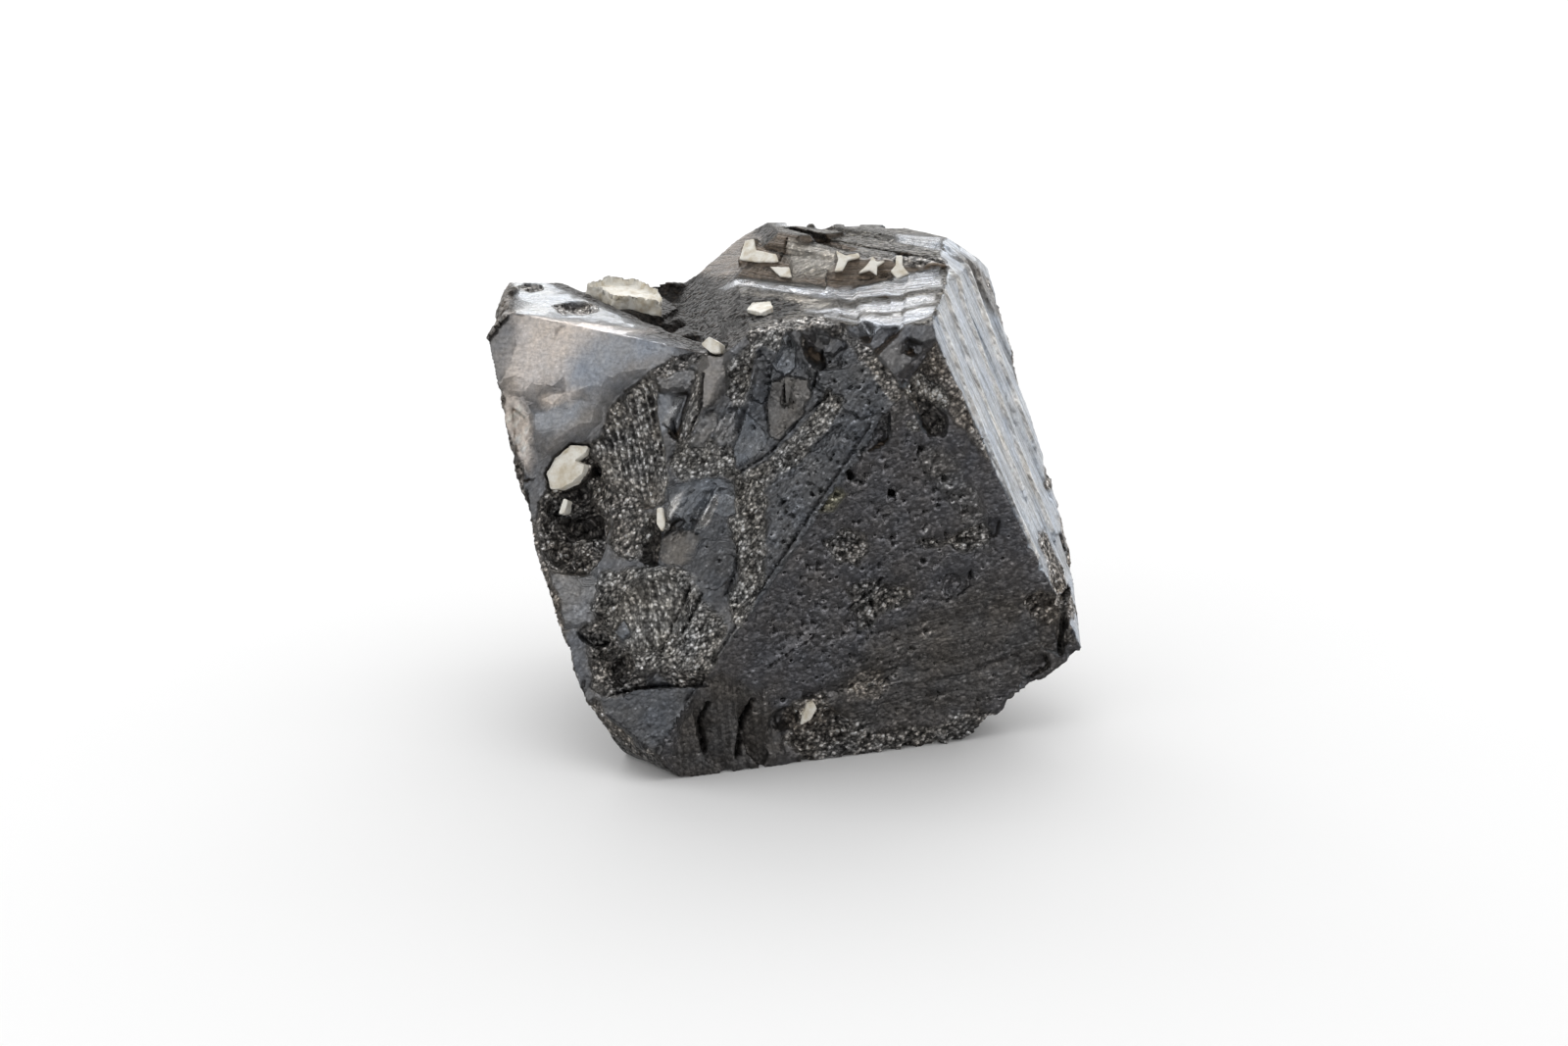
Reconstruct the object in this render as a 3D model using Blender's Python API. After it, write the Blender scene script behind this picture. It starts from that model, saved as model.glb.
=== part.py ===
"""A loose alabandite specimen: a cleaved block of black manganese sulphide, with calcite grains.

The block is made as it broke in nature. A cube is cleaved by the outer faces, then steps, shingled
ledges, worn hollows, chips and pits are taken out of it. Each calcite grain is a plate with a ragged
outline that lies in a seat cut for it. Lengths at the top are in millimetres and angles in degrees.
An azimuth of 0 looks back at the viewer along -Y, 90 is the viewer's right, along +X.
"""

import math
import random

import bmesh
import bpy
from mathutils import Matrix, Vector, noise

MM = 0.001
SEED = 7
STOCK_HALF = 60.0  # half the side of the cube that the block is cleaved from

# The corners that fix the block's size and stance. The base lies on z = 0.
FRONT_FOOT = Vector((-10.0, -18.3, 0.0))
RIDGE_FOOT = Vector((-11.9, -19.2, 3.15))
RIDGE_HEAD = Vector((13.4, -12.6, 41.7))
RIGHT_KNEE = Vector((26.4, -6.0, 12.3))
LEFT_SHOULDER = Vector((-25.1, 4.2, 38.5))
LEFT_HEEL = Vector((-18.2, -15.7, 4.5))
NOTCH = Vector((-5.9, -5.1, 36.9))  # the front end of the step from the low platform to the raised half
RISER_FOOT = Vector((6.0, 2.4, 41.5))  # the foremost point of the riser above the tread

SEAT_GAP = 0.25  # clearance round a grain in its seat
PIT_SLOPE = 0.75  # a pit's depth for a radius of 1
RIM_BAND = 0.9  # how far inside its outline a hollow reaches its full depth


def direction(azimuth, elevation):
    """The unit vector that points that way."""
    a, e = math.radians(azimuth), math.radians(elevation)
    return Vector((math.sin(a) * math.cos(e), -math.cos(a) * math.cos(e), math.sin(e)))


class Face:
    """A flat face of the block, with its own axes: across to the right and up, as seen from outside."""

    def __init__(self, point, azimuth, elevation):
        self.point = Vector(point)
        self.normal = direction(azimuth, elevation)
        self.across = Vector((0, 0, 1)).cross(self.normal).normalized()
        self.up = self.normal.cross(self.across)

    def at(self, across, up, out=0.0):
        return self.point + self.across * across + self.up * up + self.normal * out

    def axes(self, heading):
        """Along, aside and out, where along lies in the face, turned anticlockwise from across."""
        turn = math.radians(heading)
        along = self.across * math.cos(turn) + self.up * math.sin(turn)
        return along, self.normal.cross(along), self.normal


LEFT = Face(RIDGE_FOOT, -23.9, 24.4)
RIGHT_FRONT = Face(FRONT_FOOT, 19.8, -3.5)
RIGHT = Face(RIDGE_HEAD, 78.8, 21.3)
BACK = Face((0, 21.3, 30), 177, 5)
BACK_LEFT = Face((-19, 17.6, 38), -163, 3)
BACK_RIGHT = Face((20.6, 15.3, 37.4), 141, -7)
FAR_LEFT = Face((-20.4, -15.7, 4.5), -99, -19.1)
BASE = Face((0, 0, 0), 0, -90)
CROWN = Face((6, 8, 44.4), 165, 86)
RIGHT_FAR = Face((26.2, 8.1, 19.7), 122, -5)

OUTER_FACES = [
    LEFT,
    RIGHT_FRONT,
    RIGHT,
    BACK,
    BACK_LEFT,
    BACK_RIGHT,
    FAR_LEFT,
    BASE,
    CROWN,
    RIGHT_FAR,  # under the right face's far edge
    Face((27.5, 4.8, 14.4), 122, -36),  # below the bulge of the right edge
    Face((-19.05, -13.75, 7.5), -99, -26.5),  # below the bulge of the left edge
    Face((4, 18.6, 43.6), 178, 38),  # bevel behind the crown
    Face((15.1, 5.5, 43.7), 83, 47),  # bevel between the shelf and the right face
    Face((15.4, 11.9, 44.2), 133.5, 55),  # the lost corner behind the shelf
    Face((17.5, -8.4, 0.4), 100, -56),  # the raised right corner of the base
    Face(RIDGE_FOOT, -51, -33),  # the undercut beside the front foot
    Face(LEFT_HEEL, -50, -49),  # the undercut below the left heel
    Face((-25.6, 4.2, 38.9), -88, 38.7),  # the streaked cut corner beside the left shoulder
    Face((2, 20.6, 9), 172, -42),  # the undercut behind
    Face((-14.5, 10, 2.5), -128, -38),  # the undercut at the back left
]

PLATFORM = Face(LEFT_SHOULDER, 88, 85.5)
FLANK = Face(NOTCH, -80.6, 49.2)
TREAD = Face(RIDGE_HEAD, -68, 79.2)
RISER_LEFT = Face(RISER_FOOT, -46, 50)
RISER_RIGHT = Face(RISER_FOOT, -12, 58.8)
SHELF = Face((6, 8.0, 43.5), -60, 86)
SHELF_BACK = Face((3, 12.0, 43.5), 28, 40)
VALLEY_SIDE = Face((-8, 0, 38), 90, 0)  # the tread's cut stops here, right of the low platform

# Corners cut out of the cleaved block: each is the space outside all the faces in its row.
STEPS = {
    "platform_step": [PLATFORM, FLANK],
    "tread_left": [TREAD, RISER_LEFT, VALLEY_SIDE],
    "tread_right": [TREAD, RISER_RIGHT, VALLEY_SIDE],
    "shelf_step": [SHELF, SHELF_BACK],
    "back_step": [Face((0, 17.8, 20), 176, 9), Face((0, 20, 21), 160, -62)],
    "back_step_low": [Face((0, 18.9, 12), 181, 1), Face((6, 20, 20), 96, 8)],
    "far_left_step": [Face((-21.6, 0, 14), -99, -17), Face((-21, 2, 22), -140, -50)],
}

# Broken facets, each a hollow with a flat or bent floor. A corner is (across, up, depth), and a
# depth below 0 lets the floor run out through the face.
FACETS = {
    "notch_top": (
        LEFT,
        [(-6.8, 34.6, 0.2), (-5.6, 32.7, 0.5), (-3.4, 33.4, 1.0), (-2.3, 35.7, 0.3), (-4.3, 35.7, 0.2)],
    ),
    "notch_left": (LEFT, [(-5.9, 32.9, 0.3), (-5.2, 30.2, 0.2), (-4.1, 29.7, 1.3), (-3.2, 33.5, 1.4)]),
    "notch_right": (
        LEFT,
        [(-3.3, 33.4, 1.4), (-4.2, 29.6, 1.5), (-2.7, 28.6, 0.3), (-1.5, 33.1, -0.1),
         (-2.2, 35.8, 0.1)],
    ),
    "upper_ledge_a": (LEFT, [(-1.9, 29.2, 0.1), (0.4, 29.6, 0.8), (1.5, 32.5, 0.9), (-0.9, 31.5, 0.1)]),
    "upper_ledge_b": (
        LEFT,
        [(0.5, 29.6, 0.2), (1.5, 28.7, 0.4), (2.3, 29.0, 1.0), (3.1, 31.6, 1.0), (1.6, 32.0, 0.3)],
    ),
    "upper_ledge_c": (
        LEFT,
        [(2.9, 34.8, 0.2), (4.7, 33.6, 0.9), (5.0, 35.2, 1.0), (4.5, 37.0, 0.8), (3.4, 37.2, 0.2)],
    ),
    "leaf_left": (
        LEFT,
        [(1.5, 28.5, 0.1), (3.1, 26.4, 0.3), (5.6, 29.2, 1.1), (5.4, 30.5, 0.8), (3.4, 32.2, 0.1)],
    ),
    "leaf_right": (
        LEFT,
        [(3.6, 32.1, 0.1), (5.6, 29.9, 0.5), (8.8, 32.7, 1.2), (7.3, 33.3, 0.6), (5.6, 33.0, 0.3)],
    ),
    "leaf_top": (
        LEFT,
        [(4.8, 35.8, 0.2), (5.7, 33.1, 0.4), (8.6, 32.9, 0.8), (9.3, 34.5, 0.7), (8.5, 36.5, 0.2)],
    ),
    "streak_face": (
        LEFT,
        [(5.0, 37.0, 0.9), (5.6, 36.2, 0.6), (7.2, 36.7, 0.1), (6.7, 38.5, 0.3), (6.0, 39.8, 1.1)],
    ),
    "leaf_crack": (
        LEFT,
        [(3.0, 26.4, 0.8), (4.7, 27.1, 1.2), (7.4, 29.4, 1.4), (11.3, 34.3, 0.7), (10.9, 34.8, 0.7),
         (6.9, 30.3, 1.4), (4.4, 27.8, 1.2)],
    ),
    "middle_ledge_a": (
        LEFT,
        [(-1.9, 25.8, 0.1), (-3.2, 23.0, 0.1), (-1.6, 22.6, 0.8), (-0.2, 25.6, 0.8)],
    ),
    "middle_ledge_b": (LEFT, [(-0.4, 25.7, 0.2), (-1.6, 22.8, 0.2), (0.5, 21.4, 1.0), (1.5, 25.3, 1.0)]),
    "brown_facet": (
        LEFT,
        [(-3.1, 20.2, 0.9), (-2.9, 17.1, 0.5), (-0.7, 17.1, 0.2), (0.1, 18.0, 0.2), (0.7, 19.9, 0.5),
         (0.0, 21.8, 1.1), (-2.1, 21.5, 1.2)],
    ),
    "brown_facet_side": (
        LEFT,
        [(-3.2, 21.3, 1.6), (-2.8, 17.0, 1.6), (-4.2, 16.6, 0.6), (-5.1, 19.1, 0.3), (-4.4, 21.4, 0.6)],
    ),
    "blue_facet": (
        LEFT,
        [(0.9, 19.2, 0.2), (0.2, 17.2, 0.1), (1.7, 15.6, 0.2), (3.3, 15.5, 0.6), (4.5, 17.6, 1.1),
         (4.3, 19.3, 1.2), (3.3, 20.7, 1.0)],
    ),
    "low_right_facet": (
        LEFT,
        [(6.5, 25.0, 0.3), (8.1, 21.9, -0.1), (10.1, 25.6, -0.1), (13.6, 30.6, -0.1), (12.5, 32.2, 0.5),
         (10.0, 29.6, 0.7), (6.7, 28.0, 0.7)],
    ),
    "foot_crack": (
        LEFT,
        [(-5.3, 4.3, 0.4), (-3.2, 5.3, 0.9), (-0.1, 5.9, 1.2), (4.4, 6.7, 1.0), (4.3, 7.4, 0.5),
         (-0.9, 7.6, 0.4), (-3.1, 6.5, 0.3)],
    ),
    "foot_bevel": (
        LEFT,
        [(2.7, 4.3, 0.2), (1.0, 1.2, 0.5), (0.2, -0.4, 0.8), (-2.4, -0.3, 0.4), (-2.2, 0.7, -0.1),
         (0.2, 1.6, -0.1)],
    ),
    "heel_facet": (LEFT, [(-6.4, 4.6, -0.1), (-6.2, 1.9, 0.5), (-8.6, 2.6, 0.9), (-8.4, 6.2, 0.2)]),
    "side_bruise": (
        LEFT,
        [(-18.6, 23.0, 0.5), (-16.6, 23.4, 0.1), (-18.0, 28.6, -0.1), (-20.8, 30.0, 0.5)],
    ),
    "corner_streak_a": (
        LEFT,
        [(-13.6, 42.2, 0.3), (-17.6, 37.4, 0.3), (-17.1, 36.8, 0.0), (-13.0, 41.6, 0.0)],
    ),
    "slit": (LEFT, [(6.4, 35.8, 0.8), (6.5, 33.6, 0.8), (6.9, 33.4, 0.8), (7.0, 35.7, 0.8)]),
    "head_ledge": (
        RIGHT_FRONT,
        [(16.7, 31.7, 0.1), (17.9, 30.1, 0.2), (20.2, 31.2, 0.9), (20.4, 34.0, 0.9), (19.2, 33.6, 0.3)],
    ),
    "olive_facet": (
        RIGHT_FRONT,
        [(13.7, 28.2, 0.1), (15.0, 28.0, 0.6), (16.1, 29.6, 0.6), (15.1, 30.1, 0.1)],
    ),
    "right_hollow": (
        RIGHT_FRONT,
        [(25.8, 16.9, 0.2), (25.9, 15.7, 0.2), (27.0, 15.2, 0.6), (28.0, 16.3, 0.7), (27.3, 17.4, 0.5)],
    ),
    "cross_ridge": (
        RIGHT_FRONT,
        [(12.4, 6.4, 0.7), (20.4, 6.9, 0.8), (22.2, 8.5, 0.3), (17.6, 8.7, -0.1), (12.2, 7.6, -0.1)],
    ),
    "low_face": (
        RIGHT_FRONT,
        [(20.4, 6.7, 0.6), (29.0, 7.2, 0.5), (34.0, 8.4, 0.5), (35.0, 5.0, -0.1), (27.0, 1.0, -0.1),
         (19.0, 1.4, -0.1)],
    ),
    "foot_groove_a": (
        RIGHT_FRONT,
        [(1.2, 8.6, 0.0), (1.9, 5.0, 0.9), (2.7, 1.6, 0.5), (5.2, -0.3, 0.5), (4.6, 4.2, -0.1)],
    ),
    "foot_groove_b": (
        RIGHT_FRONT,
        [(5.6, 7.4, 0.0), (6.1, 4.6, 0.9), (7.0, 1.6, 1.0), (8.6, -0.3, 0.9), (9.6, 3.0, 0.3),
         (8.2, 6.4, -0.1)],
    ),
    "corner_notch": (
        RIGHT_FRONT,
        [(34.2, 6.3, 0.8), (34.6, 7.4, 1.2), (36.8, 8.0, 1.6), (37.4, 6.6, 1.8), (35.2, 5.6, 1.4)],
    ),
    "corner_facet": (
        RIGHT_FRONT,
        [(35.6, 11.6, 0.2), (36.4, 8.6, 0.8), (38.6, 7.4, 2.0), (39.4, 12.4, 2.0), (37.8, 13.4, 0.5)],
    ),
    "knee_scoop": (
        RIGHT,
        [(17.6, -12.2, 0.1), (17.4, -14.9, 0.7), (18.6, -15.4, 0.6), (19.6, -14.4, 0.2)],
    ),
    "knee_side": (
        RIGHT,
        [(9.4, -28.0, 0.5), (9.4, -32.5, 0.9), (18.0, -31.0, 1.4), (19.5, -27.0, 0.8),
         (12.6, -25.2, -0.1)],
    ),
}

# Shingles, long shallow steps: (face, across, up, heading, length, width, tilt, depth at the step).
SHINGLES = [
    # streaks down the right face, parallel to its front edge
    (RIGHT, 3.4, -14, -71, 34, 2.4, 8, 0.30),
    (RIGHT, 7.2, -10, -77, 40, 1.6, 6, 0.14),
    (RIGHT, 10.6, -16, -74, 30, 2.4, 5, 0.20),
    (RIGHT, 14.6, -8, -80, 30, 2.2, 6, 0.18),
    (RIGHT, 18.4, -12, -77, 24, 2.8, -5, 0.26),
    (RIGHT, 23.0, -6, -79, 22, 2.4, 8, 0.60),
    # thin ledges along the front of the tread
    (TREAD, -4.4, -2.0, 158, 16, 1.6, 8, 0.30),
    (TREAD, -6.6, 0.0, 156, 20, 1.5, 9, 0.34),
    (TREAD, -9.0, -3.4, 160, 22, 1.7, 7, 0.34),
    (TREAD, -9.6, 1.6, 154, 20, 1.4, 8, 0.30),
    # grooves along the shelf
    (SHELF, -5.2, -0.2, 8, 10, 1.1, 22, 0.60),
    (SHELF, -3.0, 4.0, 24, 18, 1.6, 12, 0.40),
    # creases along the riser
    (RISER_LEFT, -9.0, 2.0, 6, 14, 0.8, 22, 0.35),
    (RISER_RIGHT, 1.0, 1.2, 14, 10, 0.7, 20, 0.30),
    # cleavage steps behind
    (BACK, -8.0, 6.0, 68, 22, 5.0, 9, 1.00),
    (BACK, -1.0, 4.0, 66, 26, 4.0, 8, 0.80),
    (BACK, 7.0, 2.0, 70, 24, 4.4, 8, 0.90),
    (BACK_LEFT, -1.0, -14.0, 74, 26, 4.4, -8, 0.90),
    (BACK_LEFT, 5.0, -16.0, 70, 22, 3.6, -8, 0.80),
    (BACK_RIGHT, 3.0, -14.0, 96, 26, 3.6, 8, 0.80),
    (BACK_RIGHT, -3.6, -16.0, 98, 24, 3.4, 8, 0.80),
    (FAR_LEFT, -6.0, 12.0, 82, 26, 3.6, 9, 0.90),
    (FAR_LEFT, -12.0, 16.0, 84, 26, 4.0, -8, 0.90),
    (CROWN, -4.0, 2.0, 10, 22, 3.0, 6, 0.50),
]

# Rough hollows: (face, heading of the grooves, depth, relief, pitch, [outline]).
HOLLOWS = {
    "worn_middle": (
        LEFT, 57, 0.45, "crumbly", 2.4,
        [(-5.2, 19.6), (-4.0, 22.0), (-3.4, 25.0), (-4.2, 28.6), (-2.4, 28.2), (-1.2, 30.8),
         (-0.6, 34.0), (1.2, 36.4), (3.2, 38.4), (5.6, 40.6), (8.0, 38.4), (9.6, 36.4), (12.4, 34.8),
         (10.4, 31.4), (7.6, 28.2), (6.6, 24.0), (5.0, 20.4), (4.6, 16.4), (1.4, 15.2), (-2.0, 16.6),
         (-4.6, 16.2)],
    ),
    "grooved_hollow": (
        LEFT, -66, 0.95, "grooved", 0.95,
        [(-7.0, 34.6), (-9.4, 33.0), (-10.4, 31.0), (-10.8, 28.6), (-12.2, 27.2), (-12.0, 24.0),
         (-9.4, 21.4), (-5.3, 22.0), (-3.4, 22.6), (-3.3, 24.8), (-4.0, 27.4), (-4.9, 29.8),
         (-5.7, 32.3)],
    ),
    "dark_cavity": (
        LEFT, 30, 1.6, "crumbly", 1.6,
        [(-12.0, 27.3), (-13.7, 27.0), (-15.6, 23.8), (-15.5, 21.6), (-15.5, 19.8), (-15.2, 17.7),
         (-13.8, 15.5), (-11.5, 14.9), (-9.6, 15.2), (-8.6, 17.4), (-8.4, 21.0), (-9.6, 24.2)],
    ),
    "lower_grooves": (
        LEFT, -72, 0.50, "grooved", 1.0,
        [(-5.3, 14.6), (-7.6, 14.4), (-8.6, 11.0), (-7.4, 9.8), (-3.2, 8.0), (0.5, 8.6), (1.8, 11.1),
         (0.9, 15.4), (-2.6, 16.4)],
    ),
    "heel_crumbs": (
        LEFT, 0, 1.0, "crumbly", 1.1,
        [(-9.2, 9.8), (-7.2, 10.7), (-5.3, 8.9), (-3.4, 8.1), (-3.6, 6.2), (-4.8, 4.6), (-6.6, 5.6),
         (-7.4, 7.6)],
    ),
    "ridge_crumbs": (
        LEFT, 57, 0.45, "grooved", 1.0,
        [(1.9, 9.3), (3.4, 11.8), (6.6, 13.4), (8.0, 17.0), (7.6, 22.0), (6.4, 26.2), (4.6, 26.6),
         (2.2, 25.2), (3.6, 21.4), (4.9, 19.4), (4.7, 17.4), (2.9, 14.2), (1.1, 11.1)],
    ),
    "valley_rough": (
        PLATFORM, 92, 0.9, "crumbly", 2.0,
        [(13.4, -2.4), (8.4, -6.0), (3.6, -9.8), (-0.8, -13.4), (-5.4, -17.6), (0.0, -19.6),
         (6.0, -20.0), (15.0, -17.5), (16.4, -12.0), (15.0, -4.0)],
    ),
    "platform_pit": (PLATFORM, 0, 0.9, "crumbly", 1.6,
        [(1.2, -5.4), (3.4, -7.3), (6.2, -6.0), (6.4, -4.0), (3.6, -3.3)],
    ),
    "platform_dimple": (PLATFORM, 0, 0.5, "crumbly", 1.2,
        [(8.4, -0.2), (9.4, -1.1), (10.6, -0.4), (9.6, 0.6)],
    ),
    "crumbly_corner": (
        RIGHT_FRONT, 30, 1.1, "crumbly", 1.5,
        [(14.0, 42.4), (24.6, 42.2), (25.4, 38.0), (26.2, 34.0), (25.2, 30.8), (23.2, 31.8),
         (21.8, 35.8), (17.2, 37.2), (14.4, 38.9)],
    ),
    "brow_crumbs": (
        LEFT, 30, 0.8, "crumbly", 1.5,
        [(7.2, 41.0), (7.4, 38.4), (9.6, 36.6), (12.0, 37.0), (15.2, 38.6), (18.0, 42.4), (12.0, 43.4)],
    ),
    "burst_pit": (
        RIGHT_FRONT, 20, 0.9, "crumbly", 0.8,
        [(14.4, 21.8), (15.2, 20.4), (17.0, 19.9), (18.4, 20.5), (17.4, 21.8), (16.6, 23.2),
         (15.4, 22.6)],
    ),
    "pit_chain": (
        RIGHT_FRONT, 4, 0.8, "crumbly", 0.9,
        [(23.4, 20.4), (29.6, 20.2), (31.6, 20.6), (31.8, 22.4), (30.2, 22.6), (28.6, 21.6),
         (24.0, 21.2)],
    ),
    "broken_row": (
        RIGHT_FRONT, 40, 0.7, "crumbly", 0.9,
        [(15.6, 13.6), (17.6, 12.6), (18.4, 14.0), (21.6, 15.6), (22.8, 17.6), (20.6, 17.4),
         (17.6, 15.4)],
    ),
    "low_rough": (
        RIGHT_FRONT, 6, 0.9, "crumbly", 1.3,
        [(8.6, 5.4), (11.6, 6.2), (15.0, 5.6), (17.6, 3.6), (17.0, 1.4), (12.0, 1.0), (8.6, 1.4)],
    ),
    "knee_rough": (
        RIGHT_FRONT, 0, 0.9, "crumbly", 1.2,
        [(34.2, 13.8), (36.0, 14.6), (38.6, 12.6), (37.6, 11.4), (35.2, 11.8)],
    ),
    "back_rough": (
        BACK, 30, 1.3, "crumbly", 2.8,
        [(-3.0, -14.0), (2.0, -19.0), (10.0, -20.0), (15.0, -14.0), (11.0, -9.0), (3.0, -9.5)],
    ),
    "back_left_rough": (
        BACK_LEFT, -20, 1.3, "crumbly", 2.6,
        [(-9.0, -28.0), (-5.0, -33.0), (2.0, -32.0), (3.0, -27.0), (-2.0, -24.5)],
    ),
    "far_left_rough": (
        FAR_LEFT, 30, 1.1, "crumbly", 2.6,
        [(-12.0, 29.0), (-9.0, 25.5), (-2.0, 26.5), (-1.0, 31.0), (-4.0, 34.5), (-10.0, 33.5)],
    ),
}

# A hollow whose cutter stops at the foot of a neighbouring face.
HOLLOW_BESIDE = {"valley_rough": FLANK}

# Edges that are chipped: (start, end, chips, chip radius).
CHIPPED_EDGES = [
    (FRONT_FOOT, Vector((4.1, -13.3, 0.0)), 5, 0.9),
    (Vector((4.1, -13.3, 0.0)), Vector((17.5, -8.4, 0.4)), 8, 1.3),
    (Vector((17.5, -8.4, 0.4)), Vector((27.4, -5.3, 6.9)), 7, 1.8),
    (Vector((27.4, -5.3, 6.9)), RIGHT_KNEE, 3, 1.1),
    (RIGHT_KNEE, Vector((27.5, 4.8, 14.4)), 5, 0.8),
    (Vector((27.5, 4.8, 14.4)), Vector((26.2, 8.1, 19.7)), 4, 0.8),
    (RIDGE_HEAD, RIGHT_KNEE, 9, 0.7),
    (RIDGE_HEAD, Vector((0.0, -7.2, 39.7)), 8, 1.1),
    (Vector((-19.1, -13.8, 7.5)), Vector((-24.3, -5.3, 20.2)), 5, 0.6),
    (Vector((-24.3, -5.3, 20.2)), Vector((-28.1, 3.8, 35.0)), 7, 0.6),
    (LEFT_HEEL, RIDGE_FOOT, 5, 0.9),
    (Vector((26.2, 8.1, 19.7)), Vector((20.6, 15.3, 37.4)), 7, 1.1),
    (Vector((19.3, 14.2, 40.2)), RIDGE_HEAD, 6, 0.6),
    (Vector((-4.6, 18.0, 43.1)), Vector((12.4, 18.0, 43.8)), 5, 1.2),
    (Vector((-26.0, 16.5, 38.0)), Vector((-9.5, 21.4, 38.0)), 5, 1.3),
    (Vector((-9.0, 20.8, 6.0)), Vector((14.0, 19.5, 6.0)), 7, 1.8),
    (Vector((-14.5, 8.0, 0.5)), Vector((-12.0, 16.0, 2.0)), 4, 1.6),
]

# Single triangular pits on the right front face, beside the scattered ones: (across, up, radius).
LARGE_PITS = [
    (20.6, 26.0, 0.7),
    (25.8, 26.9, 0.6),
    (23.4, 30.0, 0.6),
    (16.6, 28.2, 0.7),
    (20.8, 21.6, 0.45),
    (27.9, 23.4, 0.5),
    (26.2, 5.0, 0.5),
]
SCATTERED_PITS = 26
PIT_FIELD = (10.0, 33.0, 10.0, 33.0)  # across from and to, up from and to
PIT_RADII = (0.22, 0.45)

# Calcite grains: (face, how far the grain stands above the face, how deep it goes, [outline]).
GRAINS = {
    "calcite_platform_patch": (
        PLATFORM, 0.9, 2.1,
        [(9.6, -5.6), (9.1, -7.1), (6.4, -8.5), (6.9, -9.9), (6.0, -13.2), (10.5, -12.3), (11.1, -11.5),
         (13.2, -10.3), (13.4, -7.5)],
    ),
    "calcite_notch_grain": (LEFT, 0.4, 1.4,
        [(-2.2, 38.0), (-1.2, 37.3), (-0.3, 37.4), (-0.5, 38.3), (-1.6, 38.7)],
    ),
    "calcite_tread_grain": (
        TREAD, 0.4, 1.1, [(-18.4, -10.9), (-16.4, -10.2), (-16.9, -8.9), (-18.6, -8.4), (-19.7, -9.8)],
    ),
    "calcite_riser_patch": (
        RISER_LEFT, 0.15, 1.1,
        [(-14.8, 0.0), (-12.4, 0.2), (-10.0, 0.8), (-10.9, 1.5), (-13.6, 1.4), (-14.8, 2.5),
         (-15.7, 2.1)],
    ),
    "calcite_riser_chip": (
        RISER_LEFT, 0.15, 1.1,
        [(-10.4, 0.0), (-8.6, -0.7), (-7.2, -0.5), (-8.3, 0.5)],
    ),
    "calcite_twin_left": (
        RISER_RIGHT, 0.15, 1.1,
        [(-1.6, 2.0), (-0.9, 2.1), (-0.6, 3.5), (0.5, 4.0), (0.3, 4.6), (-0.9, 4.1), (-1.9, 4.7),
         (-1.5, 3.6)],
    ),
    "calcite_twin_middle": (
        RISER_RIGHT, 0.15, 1.1,
        [(0.7, 1.9), (1.7, 2.4), (2.5, 1.8), (2.3, 3.0), (3.0, 3.7), (2.2, 3.5), (1.7, 4.2),
         (1.4, 3.1)],
    ),
    "calcite_twin_right": (
        RISER_RIGHT, 0.15, 1.1,
        [(3.7, 2.4), (4.5, 1.5), (5.5, 2.2), (4.7, 3.3), (4.5, 4.5), (3.9, 4.5), (4.1, 3.2)],
    ),
    "calcite_hollow_patch": (
        LEFT, 0.0, 2.6,
        [(-15.2, 22.8), (-14.2, 23.0), (-13.1, 23.7), (-12.3, 24.6), (-12.1, 25.4), (-13.4, 25.6),
         (-12.4, 26.5), (-12.2, 27.1), (-13.9, 27.0), (-15.2, 25.5), (-15.8, 24.1)],
    ),
    "calcite_cavity_sliver": (LEFT, -0.4, 2.9,
        [(-14.1, 20.5), (-13.5, 20.7), (-13.4, 21.9), (-13.8, 22.0)],
    ),
    "calcite_step_sliver": (LEFT, 0.1, 2.4,
        [(-3.7, 20.8), (-3.1, 20.2), (-2.9, 20.8), (-3.5, 22.4), (-4.0, 22.3)],
    ),
    "calcite_foot_grain": (
        RIGHT_FRONT, 0.2, 2.0,
        [(12.2, 4.0), (13.1, 4.4), (13.7, 5.4), (13.4, 6.1), (12.8, 6.0), (12.4, 5.1)],
    ),
}


def clear_scene():
    for old in list(bpy.data.objects):
        bpy.data.objects.remove(old, do_unlink=True)


def finish_material(name, colour, roughness, metallic):
    made = bpy.data.materials.new(name)
    made.use_nodes = True
    shader = made.node_tree.nodes["Principled BSDF"]
    shader.inputs["Base Color"].default_value = (*colour, 1.0)
    shader.inputs["Roughness"].default_value = roughness
    shader.inputs["Metallic"].default_value = metallic
    return made


def split_off(solid, point, normal):
    """Removes what lies outside the plane and closes the solid there."""
    cut = bmesh.ops.bisect_plane(
        solid,
        geom=solid.verts[:] + solid.edges[:] + solid.faces[:],
        plane_co=point,
        plane_no=normal,
        clear_outer=True,
    )
    rim = [part for part in cut["geom_cut"] if isinstance(part, bmesh.types.BMEdge)]
    if rim:
        bmesh.ops.edgenet_fill(solid, edges=rim)


def cleaved(faces, centre=Vector((0, 0, 0)), half=STOCK_HALF):
    """A cube of stock with everything outside each of the faces broken off."""
    solid = bmesh.new()
    bmesh.ops.create_cube(solid, size=2 * half, matrix=Matrix.Translation(centre))
    for point, normal in faces:
        split_off(solid, point, normal)
    bmesh.ops.recalc_face_normals(solid, faces=solid.faces[:])
    return solid


def object_from(solid, name, collection, material=None):
    """The bmesh, in millimetres, as an object in metres."""
    bmesh.ops.scale(solid, vec=(MM, MM, MM), verts=solid.verts[:])
    mesh = bpy.data.meshes.new(name)
    solid.to_mesh(mesh)
    solid.free()
    if material:
        mesh.materials.append(material)
    made = bpy.data.objects.new(name, mesh)
    collection.objects.link(made)
    return made


def add_cutter(solid, name, collection):
    cutter = object_from(solid, name, collection)
    cutter.hide_render = True
    cutter.display_type = "WIRE"
    return cutter


def cut_steps(collection):
    for name, faces in STEPS.items():
        outside = [(face.point, -face.normal) for face in faces]
        add_cutter(cleaved(outside), name, collection)


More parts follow.
